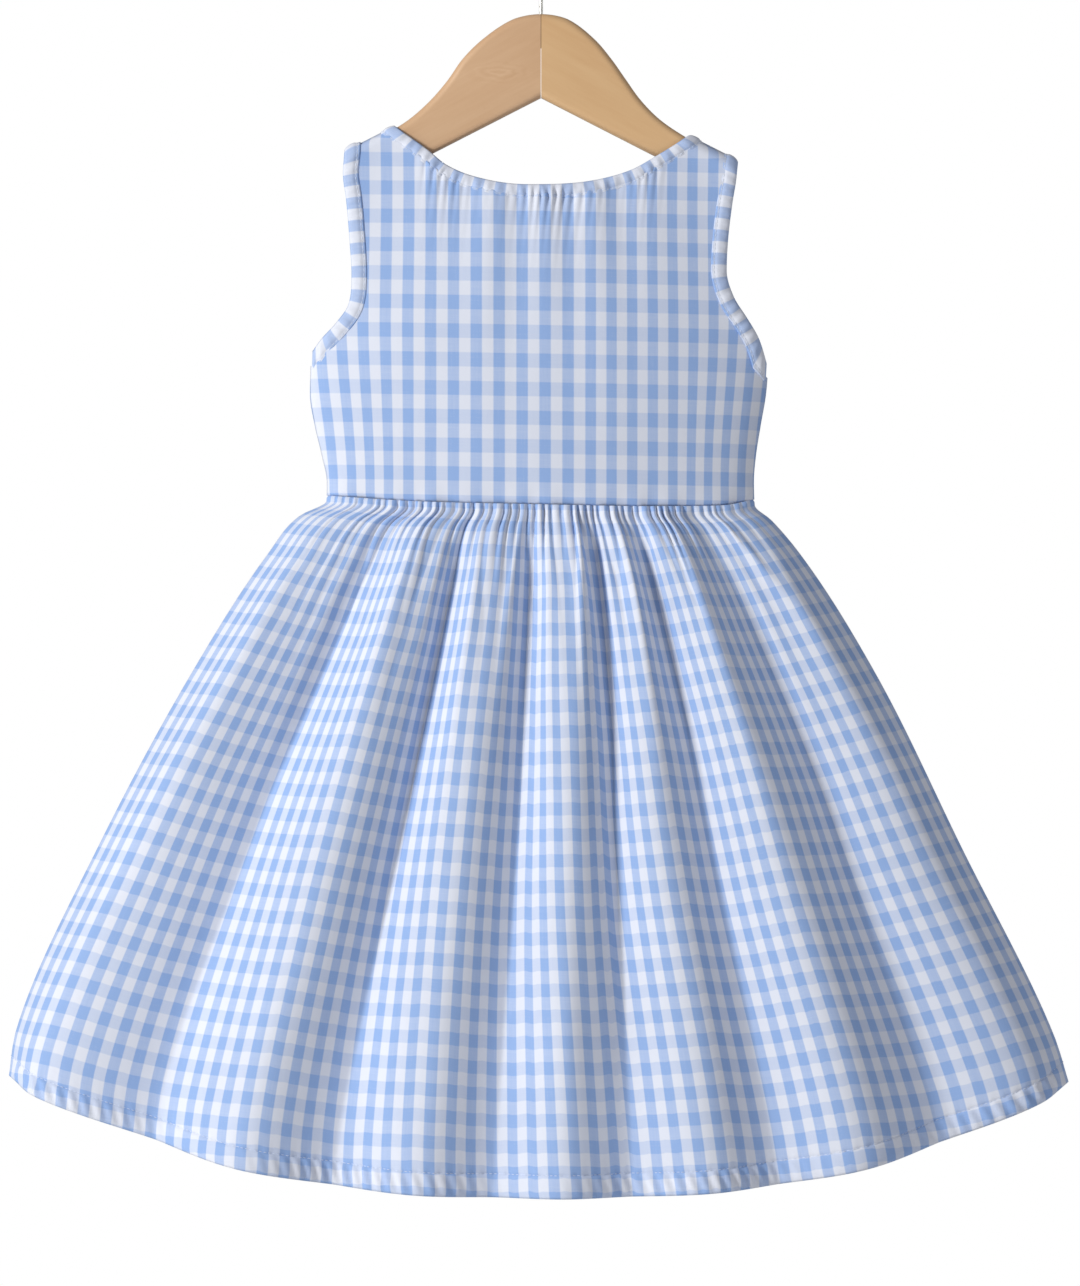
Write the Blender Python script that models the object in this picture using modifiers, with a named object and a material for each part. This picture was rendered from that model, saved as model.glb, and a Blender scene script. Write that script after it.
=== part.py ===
"""A girl's sleeveless gingham dress with a gathered skirt, on a wooden hanger.

Metres, +Z up. The shown side faces -Y and +X is the viewer's right. The origin is the inner top of
the hanger's hook, where a rail bears. The sizes in the tables are millimetres and are turned to
metres once, by table() or MM. Every cloth panel is worked out as its inner surface, and a Solidify
modifier gives it its wall outwards.
"""

import math

import bmesh
import bpy
import numpy as np

MM = 0.001

# Cloth
PANEL_WALL = 1.2 * MM
BINDING_WALL = 2.2 * MM
HEM_WALL = 2.2 * MM
SEAM_GAP = 0.3 * MM
BAND_GAP = 0.5 * MM
NECK_BINDING_WIDTH = 9 * MM
ARMHOLE_BINDING_WIDTH = 10 * MM
BAND_LEAST_SQUARE = 0.7

# Shoulders: the seam lines of both sides fall from a peak above the neck, the right one a little lower
SHOULDER_PEAK = -85.2 * MM
SHOULDER_FALL = 0.51
SHOULDER_TILT = 0.032
SHOULDER_BLEND = 70 * MM

# Bodice depth: it rolls over the hanger's arms, then stands off the body of the hanger
ROLL_HEIGHT = 7 * MM
ROLL_DEPTH = 8 * MM
BODY_HEIGHT = 150 * MM
WAIST_DEPTH = 27 * MM
SIDE_ROUND = 1.2
ARMHOLE_FLARE = 0.6
BACK_NECK_DROP = 4 * MM

# Skirt
HEM_CENTRE = -810 * MM
HEM_RISE_LEFT = 73 * MM
HEM_RISE_RIGHT = 69 * MM
HEM_POWER_LEFT = 2.4
HEM_POWER_RIGHT = 2.7
SKIRT_LENGTH = 445 * MM
HEM_TURN = 15 * MM
GATHERS = 52
GATHER_DEPTH = 1.5 * MM
GATHER_UNEVEN = (0.65, 1.35)
GATHER_REACH = (0.75, 1.5)
PLAIN_SIDE = 0.08

# Hanger
WOOD_THICKNESS = 12 * MM
WOOD_ROUND = 4.5 * MM
WOOD_TOP = -58 * MM
OUTLINE_POINTS = 15
SEAM_CUTTER_SIDE = 30 * MM
SEAM_CUTTER_HEIGHT = 200 * MM
BORE_RISE = 12 * MM
BORE_SIDES = 12
WIRE_RADIUS = 1.2 * MM
HOOK_RADIUS = 19 * MM
HOOK_BORE_DEPTH = 22 * MM
HOOK_NECK_Z = -46 * MM
HOOK_BEND_PULL = 9 * MM
HOOK_START = math.radians(-50)
HOOK_END = math.radians(200)
SHANK_POINTS = 4
BEND_POINTS = 5
RING_POINTS = 22


def table(columns, rows):
    """Rows of numbers in millimetres as one array of metres for each named column."""
    return dict(zip(columns.split(), np.array(rows, float).T * MM))


def plain_table(columns, rows):
    """Rows of plain ratios as one array for each named column."""
    return dict(zip(columns.split(), np.array(rows, float).T))


# The neck edge, from the left shoulder to the right one
NECK_EDGE = table("x z", [
    (-93.4, -130.4),
    (-72.3, -145.5),
    (-60.7, -155),
    (-43.7, -162.5),
    (-8.7, -168),
    (26.3, -166.5),
    (56.3, -159),
    (74.3, -149),
    (94.3, -136.4),
])

# The armhole edges, from the shoulder tip down to the underarm
ARMHOLE_EDGE = table("left_x left_z right_x right_z", [
    (-125.4, -146.2, 125.7, -152.7),
    (-126.6, -160, 124.8, -164),
    (-124.4, -178, 122.2, -180),
    (-122.2, -203, 119.4, -203),
    (-120.8, -226, 118.4, -223),
    (-122.8, -244.5, 122.9, -239.5),
    (-131, -256.4, 131.6, -253.3),
    (-140, -266, 138.8, -265.5),
    (-146, -273.7, 144.7, -282.5),
])

# Half widths of the bodice at its side seams, by height
BODICE_SIDE = table("z left right", [
    (-372, 136.2, 135.6),
    (-358, 136, 135.2),
    (-340, 139.4, 136.6),
    (-321, 143.8, 139.6),
    (-301, 146.8, 143),
    (-272, 146.2, 145),
])

# The waist seam, by the share of the half width at which it is measured
WAIST_SEAM = plain_table("across z", [
    (-1, -366.2),
    (-0.6, -370),
    (0, -372.2),
    (0.5, -373.3),
    (0.85, -372.6),
    (1, -368.8),
])

# The skirt's half widths in millimetres, its depths before and behind, and how its section rounds
# towards the side seams, by the share of its length from the waist
SKIRT_SECTION = plain_table("drop left right front back round", [
    (0, 136.2, 135.6, 27, 27, 1.2),
    (0.009, 136.2, 135.6, 27, 27, 1.2),
    (0.035, 153.5, 146.2, 29, 29, 1.2),
    (0.1, 173.6, 166.5, 34, 33, 1.15),
    (0.3, 221.2, 213.2, 47, 45, 1.05),
    (0.6, 281.2, 268.4, 65, 61, 1),
    (0.92, 334.5, 327, 82, 76, 1),
    (1, 339.3, 336.4, 85, 79, 1),
])

# The main folds of each skirt panel: where each ridge or valley lies across the half width at the
# waist, in the middle and at the hem, and its height in millimetres
FRONT_FOLDS = plain_table("waist middle hem height", [
    (-0.84, -0.90, -0.93, 8),
    (-0.61, -0.69, -0.735, -11.5),
    (-0.45, -0.49, -0.555, 9.5),
    (-0.31, -0.34, -0.39, -9),
    (-0.17, -0.19, -0.225, 6.5),
    (-0.04, -0.055, -0.09, -6.5),
    (0.09, 0.073, 0.045, 7),
    (0.24, 0.193, 0.17, -6.5),
    (0.335, 0.305, 0.315, 5.5),
    (0.42, 0.43, 0.45, -6.5),
    (0.55, 0.58, 0.59, 8),
    (0.69, 0.75, 0.76, -8),
    (0.87, 0.915, 0.93, 5.5),
])

BACK_FOLDS = plain_table("waist middle hem height", [
    (-0.92, -0.92, -0.93, -3.5),
    (-0.76, -0.79, -0.83, 8),
    (-0.60, -0.62, -0.66, -8),
    (-0.47, -0.46, -0.50, 8),
    (-0.34, -0.33, -0.35, -7.5),
    (-0.22, -0.20, -0.19, 6.5),
    (-0.10, -0.09, -0.05, -6),
    (0.03, 0.04, 0.08, 6),
    (0.15, 0.17, 0.22, -6.5),
    (0.27, 0.30, 0.36, 6.5),
    (0.42, 0.45, 0.50, -7),
    (0.58, 0.61, 0.65, 7),
    (0.74, 0.77, 0.80, -7),
    (0.87, 0.89, 0.91, 4),
])

# How much of its height a main fold has, and how much the gathers have, by the drop from the waist
FOLD_GROWTH = plain_table("drop fold gather", [
    (0, 0.12, 0.45),
    (0.009, 0.17, 0.5),
    (0.03, 0.35, 1),
    (0.09, 0.8, 0.8),
    (0.19, 1.15, 0.25),
    (0.27, 1.27, 0),
    (0.7, 1.35, 0),
    (1, 1.3, 0),
])

# The hanger's boards: the top edge of each, from the centre seam out to the tip under the shoulder
BOARD_TOP = table("left_x left_z right_x right_z", [
    (9, -59, 9, -59),
    (18.6, -61.8, 17.9, -61.8),
    (37.8, -74.6, 34.6, -74.6),
    (50.6, -87.4, 45.4, -87.4),
    (59.5, -100.2, 54.4, -100.2),
    (70.4, -113, 63.6, -113),
    (84.5, -125.6, 76, -125.6),
    (97, -133.4, 94, -137.7),
    (113, -141.1, 113, -147.7),
])
BOARD_TIP = table("x top_z low_z", [(118, -146, -155), (118, -152.5, -161)])
NOTCH_Z = -107.3 * MM
UNDERSIDE_FALL = 0.555
BOARD_HEEL_X = 106 * MM

# Where the rows of points lie: along the armhole and the neck edge from a shoulder seam, up the side
# seam as shares of its height, and down the skirt from the waist, closer where the cloth bends more
SHOULDER_ROWS = [0, 1.2, 4, 9]
ARMHOLE_ROWS = np.array(SHOULDER_ROWS + [18, 33, 50, 67, 82, 95, 107, 119, 131, 145]) * MM
NECK_ROWS = np.array(SHOULDER_ROWS + [18, 30, 44, 60, 77, 94]) * MM
SIDE_SEAM_ROWS = np.array([0, 0.05, 0.18, 0.38, 0.6, 0.8])
SHOULDER_STEPS = 3
GATHERED_ROWS = np.array([0, 4, 12, 24, 40, 60, 85]) * MM
HEM_STEP = 1.5 * MM
HEM_TOP = SKIRT_LENGTH - HEM_TURN
SMOOTH_ROWS = np.array([115 * MM, 160 * MM, 210 * MM, 265 * MM, 320 * MM, 375 * MM, HEM_TOP - HEM_STEP, HEM_TOP])
CURVE_SAMPLES = 400
SECTION_SAMPLES = 721
FOLD_MIDDLE = 0.45


def monotone(xs, ys, at):
    """A smooth curve through the points that never overshoots between two of them."""
    xs, ys, at = np.asarray(xs), np.asarray(ys), np.asarray(at, float)
    steps = np.diff(ys) / np.diff(xs)
    slopes = np.concatenate([[steps[0]], (steps[:-1] + steps[1:]) / 2, [steps[-1]]])
    turns = np.concatenate([[False], steps[:-1] * steps[1:] <= 0, [False]])
    slopes[turns] = 0
    limit = 3 * np.minimum(np.abs(np.append(steps, steps[-1])), np.abs(np.insert(steps, 0, steps[0])))
    slopes = np.clip(slopes, -limit, limit)
    k = np.clip(np.searchsorted(xs, at) - 1, 0, len(xs) - 2)
    width = xs[k + 1] - xs[k]
    u = np.clip((at - xs[k]) / width, 0, 1)
    return (
        ys[k] * (1 + 2 * u) * (1 - u) ** 2
        + ys[k + 1] * u * u * (3 - 2 * u)
        + width * (slopes[k] * u * (1 - u) ** 2 - slopes[k + 1] * u * u * (1 - u))
    )


def ease(share):
    """0 to 1 with no slope at either end."""
    share = np.clip(share, 0, 1)
    return share * share * (3 - 2 * share)


def lengths_along(points):
    """How far along a polyline each of its points lies."""
    return np.concatenate([[0], np.cumsum(np.linalg.norm(np.diff(points, axis=0), axis=1))])


def along(points, distances):
    """Points at these distances along a smooth curve through a few points."""
    marks = lengths_along(points)
    fine = np.linspace(0, marks[-1], CURVE_SAMPLES)
    dense = np.column_stack([monotone(marks, points[:, i], fine) for i in (0, 1)])
    marks = lengths_along(dense)
    distances = np.asarray(distances) * marks[-1] / distances[-1]
    return np.column_stack([np.interp(distances, marks, dense[:, i]) for i in (0, 1)])


def shoulder_z(x):
    """Height of the shoulder seam line above a place across the dress, rounded over between the two seams."""
    away = abs(x)
    if away < SHOULDER_BLEND:
        away = (away * away / SHOULDER_BLEND + SHOULDER_BLEND) / 2
    return SHOULDER_PEAK - SHOULDER_FALL * away - SHOULDER_TILT * x


def waist_z(across):
    """Height of the waist seam."""
    return monotone(WAIST_SEAM["across"], WAIST_SEAM["z"] * MM, across)


def hem_z(across):
    """Height of the hem, lowest in the middle and rising to the side seams."""
    rise = np.where(across < 0, HEM_RISE_LEFT, HEM_RISE_RIGHT)
    power = np.where(across < 0, HEM_POWER_LEFT, HEM_POWER_RIGHT)
    return HEM_CENTRE + rise * np.abs(across) ** power


def side_width(name, z):
    """Half width of the bodice at a side seam."""
    return monotone(BODICE_SIDE["z"], BODICE_SIDE[name], z)


def bodice_half_width(x, z):
    """Half width of the bodice; above the underarm it widens into the open armhole."""
    top = BODICE_SIDE["z"][-1]
    return side_width("left" if x < 0 else "right", min(z, top)) + ARMHOLE_FLARE * max(z - top, 0)


def bodice_depth(x, z):
    """How far the bodice's inner surface stands from the seam plane."""
    drop = max(shoulder_z(x) - z, 0)
    roll = math.sqrt(1 - (1 - min(drop / ROLL_HEIGHT, 1)) ** 2)
    body = float(ease(drop / BODY_HEIGHT))
    share = min(abs(x) / bodice_half_width(x, z), 1)
    return (ROLL_DEPTH * roll + (WAIST_DEPTH - ROLL_DEPTH) * body) * (1 - share * share) ** (SIDE_ROUND / 2)


def band_inside(outer, first_way, last_way, width):
    """The inner edge of a band sewn along an outer edge, square to it but for its two slanted ends.

    A very slanted end is cut off, so that it is never much longer than the band is wide.
    """
    tangents = np.gradient(outer, axis=0)
    tangents /= np.linalg.norm(tangents, axis=1)[:, None]
    square = np.column_stack([tangents[:, 1], -tangents[:, 0]])
    if square[len(square) // 2] @ (np.asarray(first_way) + last_way) < 0:
        square = -square
    marks = lengths_along(outer)
    reach = 2.5 * width
    near_first = ease(1 - marks / reach)[:, None]
    near_last = ease(1 - (marks[-1] - marks) / reach)[:, None]
    ways = square * (1 - near_first - near_last) + near_first * first_way + near_last * last_way
    ways /= np.linalg.norm(ways, axis=1)[:, None]
    squareness = np.maximum(np.sum(ways * square, axis=1), BAND_LEAST_SQUARE)
    return outer + ways * (width / squareness)[:, None]


def shoulder_way(side):
    """Direction along a shoulder seam, outwards and down. side is -1 on the left and 1 on the right."""
    fall = SHOULDER_FALL + side * SHOULDER_TILT
    return np.array([side, -fall]) / math.hypot(1, fall)


def armhole_outline(side, inset=0.0):
    """The armhole edge from the shoulder tip to the underarm, or a line at an inset from it."""
    name = "left" if side < 0 else "right"
    points = np.column_stack([ARMHOLE_EDGE[name + "_x"], ARMHOLE_EDGE[name + "_z"]])
    outer = along(points, ARMHOLE_ROWS)
    line = outer if inset == 0 else band_inside(outer, -shoulder_way(side), np.array([0.0, -1.0]), inset)
    seam = side_width(name, line[:, 1])
    line[:, 0] = side * np.minimum(np.abs(line[:, 0]), seam)
    line[-1, 0] = side * seam[-1]
    return line


def neck_outline(drop=0.0, inset=0.0):
    """The neck edge from left to right, or a line at an inset below it. drop lowers its middle."""
    points = np.column_stack([NECK_EDGE["x"], NECK_EDGE["z"]])
    middle = 1 - (points[:, 0] / points[-1, 0]) ** 2
    points[:, 1] -= drop * np.clip(middle, 0, 1)
    length = lengths_along(points)[-1]
    rows = np.concatenate([NECK_ROWS, [length / 2], (length - NECK_ROWS)[::-1]])
    outer = along(points, rows)
    if inset == 0:
        return outer
    return band_inside(outer, shoulder_way(-1), shoulder_way(1), inset)


def on_shoulder(start, end):
    """Points along a shoulder seam, both ends left out."""
    return [start + (end - start) * k / SHOULDER_STEPS for k in range(1, SHOULDER_STEPS)]


def bodice_border(neck_drop):
    """The four edges of a bodice panel, each as points in the plane of the seams."""
    inset = ARMHOLE_BINDING_WIDTH + BAND_GAP
    neck = neck_outline(neck_drop, NECK_BINDING_WIDTH + SEAM_GAP)
    sides = []
    for side in (-1, 1):
        armhole = armhole_outline(side, inset)[::-1]
        name = "left" if side < 0 else "right"
        low_z = float(waist_z(side)) + SEAM_GAP / 2
        heights = low_z + SIDE_SEAM_ROWS * (armhole[0, 1] - low_z)
        widths = side * side_width(name, heights)
        sides.append(np.vstack([np.column_stack([widths, heights]), armhole]))
    left, right = sides
    top = np.vstack([
        [left[-1]], on_shoulder(left[-1], neck[0]), neck, on_shoulder(neck[-1], right[-1]), [right[-1]],
    ])
    across = -np.cos(np.linspace(0, math.pi, len(top)))
    widths = np.where(across < 0, BODICE_SIDE["left"][0], BODICE_SIDE["right"][0])
    bottom = np.column_stack([across * widths, waist_z(across) + SEAM_GAP / 2])
    bottom[0], bottom[-1] = left[0], right[0]
    return bottom, top, left, right


def bodice_surface(neck_drop, facing):
    """Rows of points of a bodice panel's inner surface. facing is -1 for the shown side, 1 behind."""
    bottom, top, left, right = bodice_border(neck_drop)
    u = (bottom[:, 0] - bottom[0, 0]) / (bottom[-1, 0] - bottom[0, 0])
    marks = lengths_along(left)
    seam_rows = len(SIDE_SEAM_ROWS)
    rows = []
    for i, v in enumerate(marks / marks[-1]):
        row = (1 - v) * bottom + v * top
        row += np.outer(1 - u, left[i] - row[0]) + np.outer(u, right[i] - row[-1])
        points = []
        for j, (x, z) in enumerate(row):
            depth = max(bodice_depth(x, z), SEAM_GAP / 2)
            on_side_seam = i <= seam_rows and j in (0, len(row) - 1)
            on_shoulder_seam = i == len(marks) - 1 and min(j, len(row) - 1 - j) <= SHOULDER_STEPS
            if on_side_seam or on_shoulder_seam:
                depth = SEAM_GAP / 2
            points.append((x, facing * depth, z))
        rows.append(points)
    return np.array(rows)


def band_surface(edges, facing):
    """Rows of points across a flat band, from its outer edge to its inner one."""
    outer, inner = edges
    rows = []
    for share in (0, 0.5, 1):
        line = outer + share * (inner - outer)
        rows.append([(x, facing * bodice_depth(x, z), z) for x, z in line])
    return np.array(rows)


def neck_band(drop, facing):
    """A neck binding's surface, its ends clear of the other half's at the shoulder seams."""
    rows = band_surface((neck_outline(drop), neck_outline(drop, NECK_BINDING_WIDTH)), facing)
    for end in (0, -1):
        rows[:, end, 1] = facing * SEAM_GAP / 2
    return rows


def armhole_band(side):
    """An armhole binding's surface, from the underarm in front over the shoulder to the underarm behind."""
    edges = armhole_outline(side), armhole_outline(side, ARMHOLE_BINDING_WIDTH)
    front = band_surface(edges, -1)
    back = band_surface(edges, 1)
    for rows, facing in ((front, -1), (back, 1)):
        rows[:, 0, 1] = 0
        rows[:, -1, 1] = facing * SEAM_GAP / 2
    return np.concatenate([front[:, ::-1], back[:, 1:]], axis=1)


def section(drop, facing):
    """Half widths, depth and roundness of the skirt's section at a share of its length."""
    keys = "left", "right", "front" if facing < 0 else "back", "round"
    sizes = [float(monotone(SKIRT_SECTION["drop"], SKIRT_SECTION[key], drop)) for key in keys]
    return [size * MM for size in sizes[:3]] + sizes[3:]


def fold_offset(folds, across, drop):
    """How far the main folds move the cloth outwards."""
    if drop < FOLD_MIDDLE:
        places = folds["waist"] + (folds["middle"] - folds["waist"]) * drop / FOLD_MIDDLE
    else:
        lower = (drop - FOLD_MIDDLE) / (1 - FOLD_MIDDLE)
        places = folds["middle"] + (folds["hem"] - folds["middle"]) * lower
    places = np.concatenate([[-1], places, [1]])
    heights = np.concatenate([[0], folds["height"] * MM, [0]])
    k = np.clip(np.searchsorted(places, across) - 1, 0, len(places) - 2)
    share = (across - places[k]) / (places[k + 1] - places[k])
    growth = float(monotone(FOLD_GROWTH["drop"], FOLD_GROWTH["fold"], drop))
    return growth * (heights[k] + (heights[k + 1] - heights[k]) * ease(share))


def skirt_row(folds, drop, facing, columns, gather):
    """One row of a skirt panel: evenly spaced along the cloth, with its folds and gathers."""
    left, right, depth, side_round = section(drop, facing)
    turn = np.linspace(-math.pi / 2, math.pi / 2, SECTION_SAMPLES)
    across = np.sin(turn)
    widths = np.where(turn < 0, left, right)
    spread = widths * np.cos(turn)
    swell = depth * side_round * np.abs(np.cos(turn)) ** (side_round - 1) * np.sin(turn)
    spread[0] = spread[-1] = 0
    swell[0], swell[-1] = -depth, depth
    size = np.hypot(spread, swell)
    normal = np.column_stack([swell / size, facing * spread / size])
    plan = np.column_stack([across * widths, facing * depth * np.abs(np.cos(turn)) ** side_round])
    folded = plan + normal * fold_offset(folds, across, drop)[:, None]
    marks = lengths_along(folded)
    even = np.linspace(0, marks[-1], columns + 1)
    across, x, y, nx, ny = (
        np.interp(even, marks, values)
        for values in (across, folded[:, 0], folded[:, 1], normal[:, 0], normal[:, 1])
    )
    ease_in = ease((1 - np.abs(across)) / PLAIN_SIDE)
    x = x + nx * gather * ease_in
    y = y + ny * gather * ease_in
    y[0] = y[-1] = facing * SEAM_GAP / 2
    top = waist_z(across) - SEAM_GAP / 2
    return np.column_stack([x, y, top + drop * (hem_z(across) - top)])


def skirt_rows(folds, facing, seed):
    """The rows of a skirt panel: the upper ones carry the gathers, the lower ones half the columns."""
    uneven = np.random.default_rng(seed)
    columns = 2 * GATHERS
    depth = GATHER_DEPTH * uneven.uniform(*GATHER_UNEVEN, columns + 1)
    depth[0::2] *= -1
    reach = uneven.uniform(*GATHER_REACH, columns + 1)
    gathered = []
    for drop in GATHERED_ROWS / SKIRT_LENGTH:
        near_seam = drop <= SKIRT_SECTION["drop"][1]
        strength = monotone(FOLD_GROWTH["drop"], FOLD_GROWTH["gather"], np.minimum(drop / reach, 1))
        if near_seam:
            strength = np.full(columns + 1, FOLD_GROWTH["gather"][0])
        gathered.append(skirt_row(folds, drop, facing, columns, depth * strength))
    smooth = []
    for drop in np.append(SMOOTH_ROWS, SKIRT_LENGTH) / SKIRT_LENGTH:
        smooth.append(skirt_row(folds, drop, facing, GATHERS, 0))
    return gathered, smooth


def material(name, colour, roughness, metallic=0.0):
    """A Principled material of one colour."""
    made = bpy.data.materials.new(name)
    made.use_nodes = True
    shader = made.node_tree.nodes["Principled BSDF"]
    shader.inputs["Base Color"].default_value = (*colour, 1)
    shader.inputs["Roughness"].default_value = roughness
    shader.inputs["Metallic"].default_value = metallic
    return made


def grid_faces(rows, columns, first=0):
    """Quads between rows of points that are numbered in order."""
    return [
        (a, a + 1, a + 1 + columns, a + columns)
        for row in range(rows - 1)
        for a in range(first + row * columns, first + (row + 1) * columns - 1)
    ]


def halving_faces(upper, lower, pairs):
    """Triangles between a row and one below it with half its columns."""
    faces = []
    for k in range(pairs):
        a, b = upper + 2 * k, lower + k
        faces += [(a, a + 1, b), (a + 1, b + 1, b), (a + 1, a + 2, b + 1)]
    return faces


def cloth_object(name, points, faces, wall, look, outward, thick_from=None):
    """A cloth piece: its inner surface as a mesh, with its wall made outwards."""
    mesh = bpy.data.meshes.new(name)
    mesh.from_pydata([tuple(p) for p in points], [], faces)
    mesh.update()
    if sum(face.normal.dot(outward(face.center)) * face.area for face in mesh.polygons) < 0:
        mesh.flip_normals()
    mesh.shade_smooth()
    mesh.materials.append(look)
    piece = bpy.data.objects.new(name, mesh)
    shell = piece.modifiers.new("Wall", "SOLIDIFY")
    shell.offset = 1
    shell.use_even_offset = True
    shell.thickness = wall
    if thick_from is not None:
        group = piece.vertex_groups.new(name="turned_up")
        group.add(list(range(thick_from, len(points))), 1, "REPLACE")
        shell.thickness = HEM_WALL
        shell.vertex_group = group.name
        shell.thickness_vertex_group = wall / HEM_WALL
    return piece


def facing_out(facing):
    """Outward direction of a panel that faces the front or the back."""
    return lambda centre: (0, facing, 0)


def bodice(name, neck_drop, facing, look):
    """A bodice panel as an object."""
    rows = bodice_surface(neck_drop, facing)
    faces = grid_faces(rows.shape[0], rows.shape[1])
    return cloth_object(name, rows.reshape(-1, 3), faces, PANEL_WALL, look, facing_out(facing))


def neck_binding(name, neck_drop, facing, look):
    """A neck binding as an object."""
    rows = neck_band(neck_drop, facing)
    faces = grid_faces(rows.shape[0], rows.shape[1])
    return cloth_object(name, rows.reshape(-1, 3), faces, BINDING_WALL, look, facing_out(facing))


def armhole_binding(name, side, look):
    """An armhole binding as an object."""
    rows = armhole_band(side)
    faces = grid_faces(rows.shape[0], rows.shape[1])
    return cloth_object(
        name, rows.reshape(-1, 3), faces, BINDING_WALL, look, lambda centre: (0, math.copysign(1, centre[1]), 0)
    )


def skirt(name, folds, facing, seed, look):
    """A skirt panel as an object, its hem thicker where it is turned up."""
    gathered, smooth = skirt_rows(folds, facing, seed)
    wide, narrow = len(gathered[0]), len(smooth[0])
    points = np.concatenate(gathered + smooth)
    first_smooth = len(gathered) * wide
    faces = grid_faces(len(gathered), wide)
    faces += halving_faces(first_smooth - wide, first_smooth, GATHERS)
    faces += grid_faces(len(smooth), narrow, first_smooth)
    thick_from = first_smooth + (len(smooth) - 2) * narrow
    return cloth_object(name, points, faces, PANEL_WALL, look, facing_out(facing), thick_from)


def mesh_of_curve(piece):
    """The curve's evaluated mesh, its caps welded, as a new object in place of the curve."""
    graph = bpy.context.evaluated_depsgraph_get()
    mesh = bpy.data.meshes.new_from_object(piece.evaluated_get(graph))
    work = bmesh.new()
    work.from_mesh(mesh)
    bmesh.ops.remove_doubles(work, verts=work.verts, dist=0.00001)
    work.to_mesh(mesh)
    work.free()
    mesh.name = piece.name
    solid = bpy.data.objects.new(piece.name + "_solid", mesh)
    solid.matrix_world = piece.matrix_world.copy()
    bpy.data.objects.remove(piece)
    return solid


def board_outline(side):
    """The outline of one board of the hanger, from the top of the centre seam round to the notch."""
    name = "left" if side < 0 else "right"
    tip = 0 if side < 0 else 1
    over = SEAM_GAP
    top = [(-over, WOOD_TOP)] + list(zip(BOARD_TOP[name + "_x"], BOARD_TOP[name + "_z"]))
    end = [(BOARD_TIP["x"][tip], BOARD_TIP["top_z"][tip]), (BOARD_TIP["x"][tip], BOARD_TIP["low_z"][tip])]
    heel = [(BOARD_HEEL_X, NOTCH_Z - UNDERSIDE_FALL * BOARD_HEEL_X), (-over, NOTCH_Z)]
    smooth_top = along(np.array(top), np.linspace(0, 1, OUTLINE_POINTS))
    return [(side * x, z) for x, z in [tuple(p) for p in smooth_top] + end + heel]


def cutter_box(name, low, high, store):
    """A box that only cuts."""
    mesh = bpy.data.meshes.new(name)
    work = bmesh.new()
    bmesh.ops.create_cube(work, size=1)
    for point in work.verts:
        for axis in range(3):
            point.co[axis] = low[axis] + (point.co[axis] + 0.5) * (high[axis] - low[axis])
    work.to_mesh(mesh)
    work.free()
    box = bpy.data.objects.new(name, mesh)
    box.hide_render = True
    box.display_type = "WIRE"
    store.objects.link(box)
    return box


def cut(piece, cutter):
    """Takes the cutter out of the piece."""
    modifier = piece.modifiers.new("Cut", "BOOLEAN")
    modifier.operation = "DIFFERENCE"
    modifier.object = cutter


def board(name, side, look, parts, cutters):
    """One board of the hanger: a rounded flat outline, cut square at the centre seam and bored."""
    outline = board_outline(side)
    curve = bpy.data.curves.new(name, "CURVE")
    curve.dimensions = "2D"
    curve.fill_mode = "BOTH"
    curve.extrude = WOOD_THICKNESS / 2 - WOOD_ROUND
    curve.bevel_depth = WOOD_ROUND
    curve.bevel_resolution = 1
    curve.offset = -WOOD_ROUND
    spline = curve.splines.new("POLY")
    spline.points.add(len(outline) - 1)
    for point, (x, z) in zip(spline.points, outline):
        point.co = (x + side * -WOOD_ROUND * (abs(x) <= SEAM_GAP), z, 0, 1)
    spline.use_cyclic_u = True
    flat = bpy.data.objects.new(name, curve)
    flat.rotation_euler = (math.pi / 2, 0, 0)
    parts.objects.link(flat)
    bpy.context.view_layer.update()
    solid = mesh_of_curve(flat)
    solid.name = name
    parts.objects.link(solid)
    solid.data.materials.clear()
    solid.data.materials.append(look)
    wide = SEAM_CUTTER_SIDE
    low_x, high_x = sorted((side * SEAM_GAP / 2, -side * wide))
    low, high = (low_x, -wide, -SEAM_CUTTER_HEIGHT), (high_x, wide, 0)
    cut(solid, cutter_box(name + "_seam_cutter", low, high, cutters))
    bore = bore_cutter(name + "_bore_cutter", cutters)
    cut(solid, bore)
    return solid


def bore_cutter(name, store):
    """The bore that the hook's shank sits in."""
    mesh = bpy.data.meshes.new(name)
    work = bmesh.new()
    radius = WIRE_RADIUS + SEAM_GAP
    depth = HOOK_BORE_DEPTH + SEAM_GAP
    length = depth + BORE_RISE
    bmesh.ops.create_cone(
        work, cap_ends=True, segments=BORE_SIDES, radius1=radius, radius2=radius, depth=length
    )
    bmesh.ops.translate(work, verts=work.verts, vec=(0, 0, WOOD_TOP - depth + length / 2))
    work.to_mesh(mesh)
    work.free()
    tool = bpy.data.objects.new(name, mesh)
    tool.hide_render = True
    tool.display_type = "WIRE"
    store.objects.link(tool)
    return tool


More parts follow.
